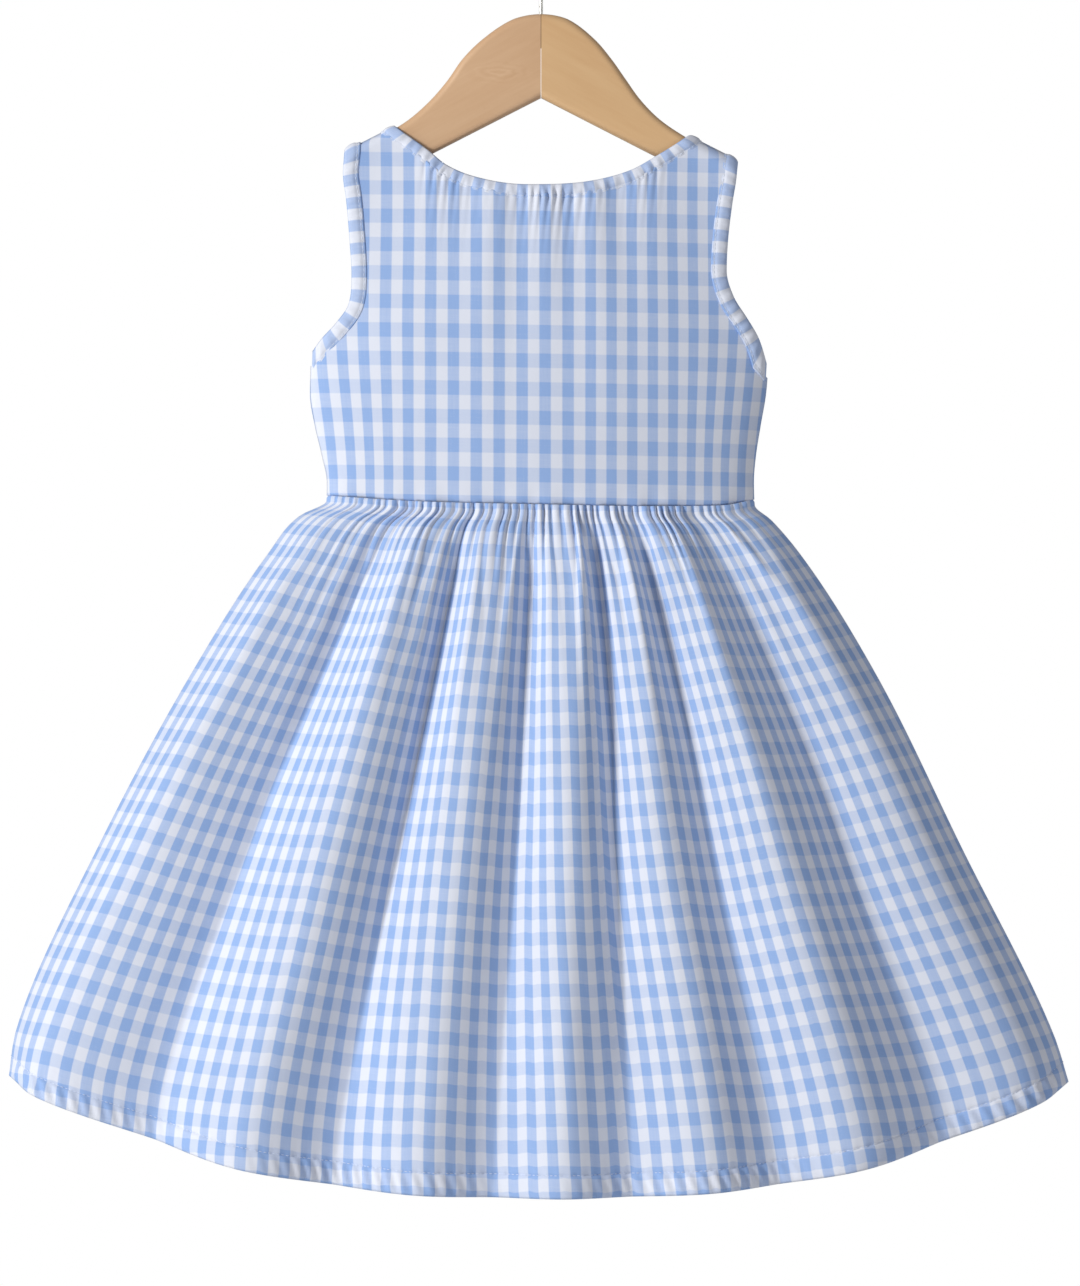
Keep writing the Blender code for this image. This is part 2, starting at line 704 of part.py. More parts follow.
def hook_route():
    """Points of the hook's wire, from the bottom of its shank to its tip."""
    ring = HOOK_RADIUS + WIRE_RADIUS
    centre_z = -HOOK_RADIUS
    neck = np.array([0.0, HOOK_NECK_Z])
    join = np.array([ring * math.cos(HOOK_START), centre_z + ring * math.sin(HOOK_START)])
    heights = np.linspace(WOOD_TOP - HOOK_BORE_DEPTH, HOOK_NECK_Z, SHANK_POINTS, endpoint=False)
    shank = [np.array([0.0, z]) for z in heights]
    leave = np.array([0.0, 1.0]) * HOOK_BEND_PULL
    arrive = np.array([-math.sin(HOOK_START), math.cos(HOOK_START)]) * HOOK_BEND_PULL
    bend = []
    for u in np.linspace(0, 1, BEND_POINTS, endpoint=False):
        first = neck * (1 - u) ** 3 + 3 * (neck + leave) * u * (1 - u) ** 2
        bend.append(first + 3 * (join - arrive) * u * u * (1 - u) + join * u**3)
    turns = np.linspace(HOOK_START, HOOK_END, RING_POINTS)
    arc = [np.array([ring * math.cos(a), centre_z + ring * math.sin(a)]) for a in turns]
    return [(x, 0, z) for x, z in shank + bend + arc]


def hook(name, look):
    """The wire hook, as a round tube along its route."""
    curve = bpy.data.curves.new(name, "CURVE")
    curve.dimensions = "3D"
    curve.bevel_depth = WIRE_RADIUS
    curve.bevel_resolution = 2
    curve.use_fill_caps = True
    route = hook_route()
    spline = curve.splines.new("POLY")
    spline.points.add(len(route) - 1)
    for point, place in zip(spline.points, route):
        point.co = (*place, 1)
    spline.use_smooth = True
    curve.materials.append(look)
    return bpy.data.objects.new(name, curve)


def main():
    """Builds the dress and its hanger."""
    for old in list(bpy.data.objects):
        bpy.data.objects.remove(old, do_unlink=True)
    parts = bpy.data.collections.new("gingham_dress")
    cutters = bpy.data.collections.new("cutters")
    cutters.hide_render = True
    for store in (parts, cutters):
        bpy.context.scene.collection.children.link(store)
    gingham = material("gingham_cotton", (0.42, 0.56, 0.80), 0.85)
    binding = material("gingham_binding", (0.36, 0.50, 0.78), 0.85)
    pale_wood = material("pale_wood", (0.60, 0.42, 0.26), 0.55)
    golden_wood = material("golden_wood", (0.63, 0.42, 0.22), 0.55)
    metal = material("hook_metal", (0.60, 0.60, 0.62), 0.3, 1.0)
    made = [
        bodice("bodice_front", 0, -1, gingham),
        bodice("bodice_back", BACK_NECK_DROP, 1, gingham),
        skirt("skirt_front", FRONT_FOLDS, -1, 11, gingham),
        skirt("skirt_back", BACK_FOLDS, 1, 23, gingham),
        neck_binding("neck_binding_front", 0, -1, binding),
        neck_binding("neck_binding_back", BACK_NECK_DROP, 1, binding),
        armhole_binding("armhole_binding_left", -1, binding),
        armhole_binding("armhole_binding_right", 1, binding),
        hook("hook", metal),
    ]
    for piece in made:
        parts.objects.link(piece)
    board("hanger_arm_left", -1, pale_wood, parts, cutters)
    board("hanger_arm_right", 1, golden_wood, parts, cutters)


main()
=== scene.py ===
"""The looks of a girl's sleeveless gingham dress on a wooden hanger.

Metres, +Z up. The shown side faces -Y and +X is the viewer's right. The origin is the inner top of the
hanger's hook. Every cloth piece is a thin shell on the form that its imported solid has, with the gathers,
creases and sewing that the solid leaves out. Sizes in the tables are millimetres.
"""

from __future__ import annotations

import logging
import math
from dataclasses import dataclass, field
from enum import Enum

import bmesh
import bpy
import numpy as np
from bpy.types import Material, Mesh, Node, NodeSocket, NodeTree, Object
from mathutils import Matrix, Vector


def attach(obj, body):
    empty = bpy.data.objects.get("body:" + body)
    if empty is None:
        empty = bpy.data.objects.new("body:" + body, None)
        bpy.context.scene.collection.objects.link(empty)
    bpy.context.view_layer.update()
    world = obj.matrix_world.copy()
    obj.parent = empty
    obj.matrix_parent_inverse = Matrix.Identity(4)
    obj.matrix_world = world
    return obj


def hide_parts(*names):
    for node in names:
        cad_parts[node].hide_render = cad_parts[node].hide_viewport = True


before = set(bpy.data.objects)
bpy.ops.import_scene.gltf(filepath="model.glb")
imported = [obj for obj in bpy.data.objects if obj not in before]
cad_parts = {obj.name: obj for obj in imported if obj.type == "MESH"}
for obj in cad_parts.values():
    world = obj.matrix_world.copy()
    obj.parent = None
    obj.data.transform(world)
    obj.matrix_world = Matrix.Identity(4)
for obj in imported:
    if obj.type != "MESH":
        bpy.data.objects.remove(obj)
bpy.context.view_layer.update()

LOG = logging.getLogger("gingham_dress")
MM = 0.001
BODY = "root"
BACK_NECK_DROP = 4 * MM
# How much the roughness of wood and wire sways with their grain
GLOSS_SWAY = 0.12

Array = np.ndarray


class Face(Enum):
    """The side of the dress that a panel is on; the value is the sign of its outward Y."""

    SHOWN = -1
    BEHIND = 1

    @property
    def outward(self) -> Array:
        """The direction that this side of the dress faces."""
        return np.array([0.0, self.value, 0.0])


class Hand(Enum):
    """Left or right as the viewer sees the shown side; the value is the sign of its X."""

    LEFT = -1
    RIGHT = 1

    @property
    def word(self) -> str:
        """The word that the tables use for this hand."""
        return "left" if self is Hand.LEFT else "right"


def table(columns: str, rows: list[tuple[float, ...]], unit: float = MM) -> dict[str, Array]:
    """Reads a given table.

    Args:
        columns: The column names, separated by spaces.
        rows: The rows of numbers.
        unit: What one is worth: a millimetre, or 1 for plain ratios.

    Returns:
        One array for each column name.
    """
    return dict(zip(columns.split(), np.array(rows, float).T * unit))


def table_field(columns: str, rows: list[tuple[float, ...]], unit: float = MM) -> dict[str, Array]:
    """A table as the default of a dataclass field."""
    return field(default_factory=lambda: table(columns, rows, unit))


def monotone(xs: Array, ys: Array, at: Array) -> Array:
    """A smooth curve through points that never overshoots between two of them.

    Args:
        xs: Rising places of the points.
        ys: Values at the points.
        at: Where the curve is read.

    Returns:
        The curve's values.
    """
    xs, ys, at = np.asarray(xs), np.asarray(ys), np.asarray(at, float)
    steps = np.diff(ys) / np.diff(xs)
    slopes = np.concatenate([[steps[0]], (steps[:-1] + steps[1:]) / 2, [steps[-1]]])
    turns = np.concatenate([[False], steps[:-1] * steps[1:] <= 0, [False]])
    slopes[turns] = 0
    limit = 3 * np.minimum(np.abs(np.append(steps, steps[-1])), np.abs(np.insert(steps, 0, steps[0])))
    slopes = np.clip(slopes, -limit, limit)
    k = np.clip(np.searchsorted(xs, at) - 1, 0, len(xs) - 2)
    width = xs[k + 1] - xs[k]
    u = np.clip((at - xs[k]) / width, 0, 1)
    return (
        ys[k] * (1 + 2 * u) * (1 - u) ** 2
        + ys[k + 1] * u * u * (3 - 2 * u)
        + width * (slopes[k] * u * (1 - u) ** 2 - slopes[k + 1] * u * u * (1 - u))
    )


def ease(share: Array) -> Array:
    """0 to 1 with no slope at either end."""
    share = np.clip(share, 0, 1)
    return share * share * (3 - 2 * share)


def lengths_along(points: Array) -> Array:
    """How far along a polyline each of its points lies."""
    return np.concatenate([[0], np.cumsum(np.linalg.norm(np.diff(points, axis=0), axis=1))])


def along(points: Array, distances: Array, samples: int = 600) -> Array:
    """Points at given distances along a smooth curve through a few points.

    Args:
        points: The few points, in the plane.
        distances: The distances, stretched so that the last one is the curve's end.
        samples: How finely the curve is measured.

    Returns:
        One point for each distance.
    """
    marks = lengths_along(points)
    fine = np.linspace(0, marks[-1], samples)
    dense = np.column_stack([monotone(marks, points[:, i], fine) for i in (0, 1)])
    marks = lengths_along(dense)
    distances = np.asarray(distances) * marks[-1] / distances[-1]
    return np.column_stack([np.interp(distances, marks, dense[:, i]) for i in (0, 1)])


def surface_normals(grid: Array, outward: Array) -> Array:
    """Unit normals of a grid of points.

    Args:
        grid: Rows of columns of points.
        outward: A direction, or one for each point, that the normals face.

    Returns:
        One unit normal for each point.
    """
    across = np.gradient(grid, axis=1)
    down = np.gradient(grid, axis=0)
    normals = unit(np.cross(across, down))
    facing = np.sum(normals * outward, axis=2, keepdims=True)
    return np.where(facing < 0, -normals, normals)


def wave(place: Array, length: float, phase: Array | float = 0) -> Array:
    """A sine wave; the length is that of one radian, in millimetres."""
    return np.sin(place / (length * MM) + phase)


def unit(vectors: Array) -> Array:
    """Vectors brought to a length of 1."""
    return vectors / np.maximum(np.linalg.norm(vectors, axis=2, keepdims=True), 1e-12)


def bump(distance: Array) -> Array:
    """A rounded ridge, 1 at the middle and 0 with a crisp crease at a distance of 1."""
    return np.maximum(1 - distance * distance, 0)


@dataclass(frozen=True)
class DressForm:
    """Seam lines, half widths and depths of the dress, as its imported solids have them."""

    panel_wall: float = 1.2 * MM
    neck_band: float = 9 * MM
    armhole_band: float = 10 * MM
    shoulder_peak: float = -85.2 * MM
    shoulder_fall: float = 0.51
    shoulder_tilt: float = 0.032
    shoulder_blend: float = 70 * MM
    roll_height: float = 7 * MM
    roll_depth: float = 8 * MM
    body_height: float = 150 * MM
    waist_depth: float = 27 * MM
    waist_width: float = 136 * MM
    side_round: float = 1.2
    armhole_flare: float = 0.6
    hem_centre: float = -810 * MM
    hem_rise: tuple[float, float] = (73 * MM, 69 * MM)
    hem_power: tuple[float, float] = (2.4, 2.7)
    skirt_length: float = 445 * MM
    hem_turn: float = 15 * MM
    band_least_square: float = 0.7
    slant_reach: float = 2.5
    neck_edge: dict[str, Array] = table_field("x z", [
        (-93.4, -130.4),
        (-72.3, -145.5),
        (-60.7, -155),
        (-43.7, -162.5),
        (-8.7, -168),
        (26.3, -166.5),
        (56.3, -159),
        (74.3, -149),
        (94.3, -136.4),
    ])
    armhole_edge: dict[str, Array] = table_field("left_x left_z right_x right_z", [
        (-125.4, -146.2, 125.7, -152.7),
        (-126.6, -160, 124.8, -164),
        (-124.4, -178, 122.2, -180),
        (-122.2, -203, 119.4, -203),
        (-120.8, -226, 118.4, -223),
        (-122.8, -244.5, 122.9, -239.5),
        (-131, -256.4, 131.6, -253.3),
        (-140, -266, 138.8, -265.5),
        (-146, -273.7, 144.7, -282.5),
    ])
    bodice_side: dict[str, Array] = table_field("z left right", [
        (-372, 136.2, 135.6),
        (-358, 136, 135.2),
        (-340, 139.4, 136.6),
        (-321, 143.8, 139.6),
        (-301, 146.8, 143),
        (-272, 146.2, 145),
    ])
    waist_seam: dict[str, Array] = table_field("across z", [
        (-1, -366.2),
        (-0.6, -370),
        (0, -372.2),
        (0.5, -373.3),
        (0.85, -372.6),
        (1, -368.8),
    ], 1)

    def shoulder_z(self, x: Array) -> Array:
        """Height of the shoulder seam line above places across the dress."""
        away = np.abs(x)
        rounded = (away * away / self.shoulder_blend + self.shoulder_blend) / 2
        away = np.where(away < self.shoulder_blend, rounded, away)
        return self.shoulder_peak - self.shoulder_fall * away - self.shoulder_tilt * x

    def waist_z(self, across: Array) -> Array:
        """Height of the waist seam at shares of the half width."""
        return monotone(self.waist_seam["across"], self.waist_seam["z"] * MM, across)

    def hem_z(self, across: Array) -> Array:
        """Height of the hem, lowest in the middle and rising to the side seams."""
        rise = np.where(across < 0, *self.hem_rise)
        power = np.where(across < 0, *self.hem_power)
        return self.hem_centre + rise * np.abs(across) ** power

    def side_width(self, hand: Hand, z: Array) -> Array:
        """Half width of the bodice at a side seam."""
        return monotone(self.bodice_side["z"], self.bodice_side[hand.word], z)

    def half_width(self, x: Array, z: Array) -> Array:
        """Half width of the bodice; above the underarm it widens into the open armhole."""
        top = self.bodice_side["z"][-1]
        low = np.minimum(z, top)
        width = np.where(x < 0, self.side_width(Hand.LEFT, low), self.side_width(Hand.RIGHT, low))
        return width + self.armhole_flare * np.maximum(z - top, 0)

    def depth(self, x: Array, z: Array) -> Array:
        """How far the bodice's inner surface stands from the seam plane.

        Args:
            x: Places across the dress.
            z: Their heights.

        Returns:
            The depth at each place, rolling over the hanger's arms and filling out below them.
        """
        drop = np.maximum(self.shoulder_z(x) - z, 0)
        roll = np.sqrt(1 - (1 - np.minimum(drop / self.roll_height, 1)) ** 2)
        body = ease(drop / self.body_height)
        share = np.minimum(np.abs(x) / self.half_width(x, z), 1)
        full = self.roll_depth * roll + (self.waist_depth - self.roll_depth) * body
        return full * (1 - share * share) ** (self.side_round / 2)

    def shoulder_way(self, hand: Hand) -> Array:
        """Direction along a shoulder seam, outwards and down."""
        fall = self.shoulder_fall + hand.value * self.shoulder_tilt
        return np.array([hand.value, -fall]) / math.hypot(1, fall)

    def inside(self, outer: Array, first_way: Array, last_way: Array, width: float) -> Array:
        """A line at a width inside an edge, square to it but for its two slanted ends.

        Args:
            outer: Points of the edge.
            first_way: Direction of the slanted first end.
            last_way: Direction of the slanted last end.
            width: How far inside the line runs.

        Returns:
            One point for each point of the edge.
        """
        tangents = np.gradient(outer, axis=0)
        tangents /= np.linalg.norm(tangents, axis=1)[:, None]
        square = np.column_stack([tangents[:, 1], -tangents[:, 0]])
        if square[len(square) // 2] @ (np.asarray(first_way) + last_way) < 0:
            square = -square
        marks = lengths_along(outer)
        reach = self.slant_reach * width
        near_first = ease(1 - marks / reach)[:, None]
        near_last = ease(1 - (marks[-1] - marks) / reach)[:, None]
        ways = square * (1 - near_first - near_last) + near_first * first_way + near_last * last_way
        ways /= np.linalg.norm(ways, axis=1)[:, None]
        squareness = np.maximum(np.sum(ways * square, axis=1), self.band_least_square)
        return outer + ways * (width / squareness)[:, None]

    def armhole(self, hand: Hand, points: int, inset: float = 0.0) -> Array:
        """The armhole edge from the shoulder tip down to the underarm, or a line inside it.

        Args:
            hand: Which armhole.
            points: How many points the line has.
            inset: How far inside the edge it runs.

        Returns:
            The line's points in the plane of the seams.
        """
        columns = [self.armhole_edge[f"{hand.word}_{axis}"] for axis in "xz"]
        outer = along(np.column_stack(columns), np.linspace(0, 1, points))
        line = outer
        if inset:
            line = self.inside(outer, -self.shoulder_way(hand), np.array([0.0, -1.0]), inset)
        seam = self.side_width(hand, line[:, 1])
        line[:, 0] = hand.value * np.minimum(np.abs(line[:, 0]), seam)
        line[-1, 0] = hand.value * seam[-1]
        return line

    def neck(self, points: int, drop: float = 0.0, inset: float = 0.0) -> Array:
        """The neck edge from left to right, or a line below it.

        Args:
            points: How many points the line has.
            drop: How much lower its middle is than on the shown side.
            inset: How far below the edge it runs.

        Returns:
            The line's points in the plane of the seams.
        """
        edge = np.column_stack([self.neck_edge["x"], self.neck_edge["z"]])
        middle = 1 - (edge[:, 0] / edge[-1, 0]) ** 2
        edge[:, 1] -= drop * np.clip(middle, 0, 1)
        outer = along(edge, np.linspace(0, 1, points))
        if not inset:
            return outer
        return self.inside(outer, self.shoulder_way(Hand.LEFT), self.shoulder_way(Hand.RIGHT), inset)


FORM = DressForm()


def linear_colour(code: str) -> tuple[float, float, float, float]:
    """Turns an sRGB hex colour into the linear values that shaders take."""
    shares = [int(code[i : i + 2], 16) / 255 for i in (1, 3, 5)]
    lit = [c / 12.92 if c <= 0.04045 else ((c + 0.055) / 1.055) ** 2.4 for c in shares]
    return (*lit, 1.0)


def fill(tree: NodeTree, node: Node, links: dict) -> None:
    """Fills a node's inputs.

    Args:
        tree: The node tree.
        node: The node.
        links: Input name or number, with what goes in: a plain value, a socket, or a node, which
            stands for its first output.
    """
    for key, value in links.items():
        if isinstance(value, Node):
            value = value.outputs[0]
        if isinstance(value, NodeSocket):
            tree.links.new(value, node.inputs[key])
        else:
            node.inputs[key].default_value = value


def add_node(tree: NodeTree, kind: str, links: dict | None = None, **settings) -> Node:
    """Adds a node with its settings and links.

    Args:
        tree: The node tree.
        kind: The node's Blender type name.
        links: What goes into its inputs, as fill takes it.
        **settings: Attributes of the node itself.

    Returns:
        The new node.
    """
    node = tree.nodes.new(kind)
    for name, value in settings.items():
        setattr(node, name, value)
    fill(tree, node, links or {})
    return node


def new_material(name: str) -> tuple[Material, NodeTree, Node]:
    """A material with its node tree and its Principled shader."""
    made = bpy.data.materials.new(name)
    made.use_nodes = True
    return made, made.node_tree, made.node_tree.nodes["Principled BSDF"]


@dataclass(frozen=True)
class GinghamCotton:
    """Plain-woven cotton with dyed and white yarns: white, half blue and full blue oblongs."""

    name: str = "gingham_woven_cotton"
    warp_pitch: float = 14.6 * MM
    weft_pitch: float = 17.4 * MM
    white: str = "#DADFED"
    blue: str = "#90AEE0"
    warp_share: float = 0.68
    weft_share: float = 0.34
    edge: float = 0.9 * MM
    # Real yarns are about 0.35 mm apart; they are drawn three times as coarse so that they show
    yarn: float = 1.1 * MM
    slub: float = 28 * MM
    unevenness: float = 0.3
    cloudiness: float = 0.03
    cloud_scale: float = 9.0
    relief: float = 0.12 * MM
    roughness: float = 0.86

    def stripe(self, tree: NodeTree, place: NodeSocket, pitch: float) -> Node:
        """1 on the dyed stripes of one yarn direction and 0 on the white ones, with soft edges.

        Args:
            tree: The node tree.
            place: The UV coordinate across the stripes, in metres.
            pitch: Width of a dyed and a white stripe together.

        Returns:
            The stripe's node.
        """
        turned = add_node(tree, "ShaderNodeMath", {0: place, 1: 1 / pitch}, operation="MULTIPLY")
        away = add_node(tree, "ShaderNodeMath", {0: turned, 1: 0.5}, operation="PINGPONG")
        soft = self.edge / pitch
        links = {0: away, 1: 0.25 + soft / 2, 2: 0.25 - soft / 2, 3: 0.0, 4: 1.0}
        return add_node(tree, "ShaderNodeMapRange", links, interpolation_type="SMOOTHSTEP")

    def yarns(self, tree: NodeTree, uv: Node, across: bool) -> Node:
        """Uneven yarns: noise drawn out along one yarn direction.

        Args:
            tree: The node tree.
            uv: The UV vector in metres.
            across: True for the weft, which runs across the dress.

        Returns:
            The noise's node, about 0.5 on average.
        """
        fine, long = 1 / self.yarn, 1 / self.slub
        scale = (long, fine, 1) if across else (fine, long, 1)
        stretched = add_node(tree, "ShaderNodeMapping", {"Vector": uv, "Scale": scale})
        links = {"Vector": stretched, "Scale": 1.0, "Detail": 2.0, "Roughness": 0.6}
        return add_node(tree, "ShaderNodeTexNoise", links)

    def build(self) -> Material:
        """Makes the material. To the eye it is matt and crisp, dyed stripes over and under white ones."""
        made, tree, shader = new_material(self.name)
        uv = add_node(tree, "ShaderNodeUVMap", uv_map="cloth")
        places = add_node(tree, "ShaderNodeSeparateXYZ", {0: uv}).outputs
        dyed = uneven = 0.0
        systems = ((self.warp_pitch, self.warp_share), (self.weft_pitch, self.weft_share))
        for i, (pitch, share) in enumerate(systems):
            links = {0: self.stripe(tree, places[i], pitch), 1: share, 2: dyed}
            dyed = add_node(tree, "ShaderNodeMath", links, operation="MULTIPLY_ADD")
            links = {0: uneven, 1: self.yarns(tree, uv, i == 1)}
            uneven = add_node(tree, "ShaderNodeMath", links, operation="ADD")
        links = {0: uneven, 1: self.unevenness, 2: 1 - self.unevenness}
        slub = add_node(tree, "ShaderNodeMath", links, operation="MULTIPLY_ADD")
        dyed = add_node(tree, "ShaderNodeMath", {0: dyed, 1: slub}, operation="MULTIPLY")
        links = {0: dyed, 6: linear_colour(self.white), 7: linear_colour(self.blue)}
        colour = add_node(tree, "ShaderNodeMix", links, data_type="RGBA").outputs[2]
        cloud = add_node(tree, "ShaderNodeTexNoise", {"Vector": uv, "Scale": self.cloud_scale, "Detail": 3.0})
        links = {0: cloud, 1: 0.3, 2: 0.7, 3: 1 - self.cloudiness, 4: 1 + self.cloudiness}
        tone = add_node(tree, "ShaderNodeMapRange", links)
        grey = add_node(tree, "ShaderNodeCombineColor", {0: tone, 1: tone, 2: tone})
        links = {0: 1.0, 6: colour, 7: grey}
        colour = add_node(tree, "ShaderNodeMix", links, data_type="RGBA", blend_type="MULTIPLY").outputs[2]
        height = add_node(tree, "ShaderNodeMath", {0: uneven, 1: 0.5}, operation="MULTIPLY")
        links = {"Height": height, "Strength": 0.35, "Distance": self.relief}
        relief = add_node(tree, "ShaderNodeBump", links)
        fill(tree, shader, {
            "Base Color": colour,
            "Roughness": self.roughness,
            "Specular IOR Level": 0.25,
            "Sheen Weight": 0.12,
            "Sheen Roughness": 0.5,
            "Normal": relief,
        })
        return made


@dataclass(frozen=True)
class CottonThread:
    """Spun cotton sewing thread, pale blue: each stitch a small matt bead of light."""

    name: str = "pale_blue_cotton_thread"
    colour: str = "#DCE6F8"
    twist: float = 0.6 * MM
    # How dark the painted shade in the hollows of the twist is
    hollow: float = 0.82
    roughness: float = 0.7

    def build(self) -> Material:
        """Makes the material, with painted shade in the hollows of the thread's twist as fine darker bands
        along it.
        """
        made, tree, shader = new_material(self.name)
        place = add_node(tree, "ShaderNodeTexCoord").outputs["Object"]
        links = {"Vector": place, "Scale": 1 / self.twist, "Detail": 1.0}
        twist = add_node(tree, "ShaderNodeTexNoise", links)
        base = linear_colour(self.colour)
        # The darker colour is painted shade in the hollows of the twist
        darker = (*[c * self.hollow for c in base[:3]], 1.0)
        links = {0: twist, 6: darker, 7: base}
        colour = add_node(tree, "ShaderNodeMix", links, data_type="RGBA").outputs[2]
        fill(tree, shader, {"Base Color": colour, "Roughness": self.roughness})
        return made


@dataclass(frozen=True)
class SandedBeech:
    """Steamed beech, sanded and clear varnished: fine flecked grain with a low satin gloss."""

    name: str
    light: str
    dark: str
    slope: float
    knot: tuple[float, float] | None = None
    grain: tuple[float, float] = (26 * MM, 1.6 * MM)
    streaks: tuple[float, float] = (60 * MM, 9 * MM)
    knot_size: tuple[float, float] = (20 * MM, 7 * MM)
    ring_turns: float = 15.0
    ring_shade: float = 0.16
    streak_shade: tuple[float, float] = (0.9, -0.15)
    fleck_shade: float = 0.28
    relief: float = 0.08 * MM
    roughness: float = 0.42

    def fibres(self, tree: NodeTree, turned: Node, size: tuple[float, float], detail: float) -> Node:
        """Noise drawn out along the grain.

        Args:
            tree: The node tree.
            turned: Places with X along the board.
            size: The noise's length and width.
            detail: How finely it is broken up.

        Returns:
            The noise's node.
        """
        scale = (1 / size[0], 1 / size[1], 1 / size[1])
        drawn = add_node(tree, "ShaderNodeMapping", {"Vector": turned, "Scale": scale})
        return add_node(tree, "ShaderNodeTexNoise", {"Vector": drawn, "Scale": 1.0, "Detail": detail})

    def build(self) -> Material:
        """Makes the material; slope turns the grain along the arm, in radians."""
        made, tree, shader = new_material(self.name)
        place = add_node(tree, "ShaderNodeTexCoord").outputs["Object"]
        turned = add_node(tree, "ShaderNodeMapping", {"Vector": place, "Rotation": (0, self.slope, 0)})
        broad = self.fibres(tree, turned, self.streaks, 4.0)
        fine = self.fibres(tree, turned, self.grain, 3.0)
        links = {0: broad, 1: self.streak_shade[0], 2: self.streak_shade[1]}
        share = add_node(tree, "ShaderNodeMath", links, operation="MULTIPLY_ADD")
        links = {0: fine, 1: self.fleck_shade, 2: share}
        share = add_node(tree, "ShaderNodeMath", links, operation="MULTIPLY_ADD")
        if self.knot:
            links = {0: share, 1: self.knot_rings(tree, place)}
            share = add_node(tree, "ShaderNodeMath", links, operation="ADD")
        links = {0: share, 6: linear_colour(self.light), 7: linear_colour(self.dark)}
        colour = add_node(tree, "ShaderNodeMix", links, data_type="RGBA").outputs[2]
        links = {0: fine, 1: GLOSS_SWAY, 2: self.roughness - GLOSS_SWAY / 2}
        gloss = add_node(tree, "ShaderNodeMath", links, operation="MULTIPLY_ADD")
        links = {"Height": fine, "Strength": 0.15, "Distance": self.relief}
        relief = add_node(tree, "ShaderNodeBump", links)
        fill(tree, shader, {
            "Base Color": colour,
            "Roughness": gloss,
            "IOR": 1.5,
            "Coat Weight": 0.15,
            "Coat Roughness": 0.3,
            "Normal": relief,
        })
        return made

    def knot_rings(self, tree: NodeTree, place: NodeSocket) -> Node:
        """Wavy darker lines round a small flat knot.

        Args:
            tree: The node tree.
            place: Object coordinates.

        Returns:
            How much darker the wood is.
        """
        x, z = self.knot
        moved = add_node(tree, "ShaderNodeMapping", {"Vector": place, "Location": (-x, 0, -z)})
        scale = (1 / self.knot_size[0], 0.0, 1 / self.knot_size[1])
        squeezed = add_node(tree, "ShaderNodeMapping", {"Vector": moved, "Scale": scale})
        wobble = add_node(tree, "ShaderNodeTexNoise", {"Vector": squeezed, "Scale": 1.6, "Detail": 2.0})
        away = add_node(tree, "ShaderNodeVectorMath", {0: squeezed}, operation="LENGTH").outputs[1]
        wavy = add_node(tree, "ShaderNodeMath", {0: wobble, 1: 0.9, 2: away}, operation="MULTIPLY_ADD")
        phase = add_node(tree, "ShaderNodeMath", {0: wavy, 1: self.ring_turns}, operation="MULTIPLY")
        rings = add_node(tree, "ShaderNodeMath", {0: phase}, operation="SINE")
        near = add_node(tree, "ShaderNodeMapRange", {0: away, 1: 0.2, 2: 1.3, 3: self.ring_shade, 4: 0.0})
        return add_node(tree, "ShaderNodeMath", {0: rings, 1: near}, operation="MULTIPLY")


@dataclass(frozen=True)
class PlatedWire:
    """Nickel-plated steel wire, drawn smooth: a narrow bright line along its lit side."""

    name: str = "nickel_plated_steel_wire"
    colour: str = "#C9C8C4"
    drawing: float = 2 * MM
    roughness: float = 0.24

    def build(self) -> Material:
        """Makes the material, with faint drawing marks in its gloss."""
        made, tree, shader = new_material(self.name)
        place = add_node(tree, "ShaderNodeTexCoord").outputs["Object"]
        links = {"Vector": place, "Scale": 1 / self.drawing, "Detail": 2.0}
        marks = add_node(tree, "ShaderNodeTexNoise", links)
        links = {0: marks, 1: GLOSS_SWAY, 2: self.roughness - GLOSS_SWAY / 2}
        gloss = add_node(tree, "ShaderNodeMath", links, operation="MULTIPLY_ADD")
        look = {"Base Color": linear_colour(self.colour), "Metallic": 1.0, "Roughness": gloss}
        fill(tree, shader, look)
        return made


@dataclass(frozen=True)
class PalePaper:
    """Matt white studio paper for the floor."""

    name: str = "matt_white_paper"
    colour: str = "#F4F4F4"
    roughness: float = 0.9

    def build(self) -> Material:
        """Makes the material."""
        made, tree, shader = new_material(self.name)
        fill(tree, shader, {"Base Color": linear_colour(self.colour), "Roughness": self.roughness})
        return made


def link(piece: Object) -> Object:
    """Puts an object into the scene."""
    bpy.context.scene.collection.objects.link(piece)
    return piece


def plain_mesh(piece: Object, name: str) -> Object:
    """Replaces an object by the plain mesh that its modifiers or curve settings make.

    Args:
        piece: The object, which is removed.
        name: Name of the new object.

    Returns:
        The new object, at the origin.
    """
    bpy.context.view_layer.update()
    graph = bpy.context.evaluated_depsgraph_get()
    mesh = bpy.data.meshes.new_from_object(piece.evaluated_get(graph))
    mesh.transform(piece.matrix_world)
    bpy.data.objects.remove(piece)
    mesh.name = name
    return link(bpy.data.objects.new(name, mesh))


def close_up(mesh: Mesh, weld: bool = False, cut: tuple[Vector, Vector] | None = None) -> None:
    """Turns the faces of a closed mesh outwards.

    Args:
        mesh: The mesh.
        weld: True to join points that lie on each other first.
        cut: A point and a direction; what lies past that plane goes and the cut is filled.
    """
    work = bmesh.new()
    work.from_mesh(mesh)
    if weld:
        bmesh.ops.remove_doubles(work, verts=work.verts, dist=0.01 * MM)
    if cut:
        everything = work.verts[:] + work.edges[:] + work.faces[:]
        point, past = cut
        found = bmesh.ops.bisect_plane(work, geom=everything, plane_co=point, plane_no=past, clear_outer=True)
        bmesh.ops.holes_fill(work, edges=[e for e in found["geom_cut"] if isinstance(e, bmesh.types.BMEdge)])
    bmesh.ops.recalc_face_normals(work, faces=work.faces)
    work.to_mesh(mesh)
    work.free()


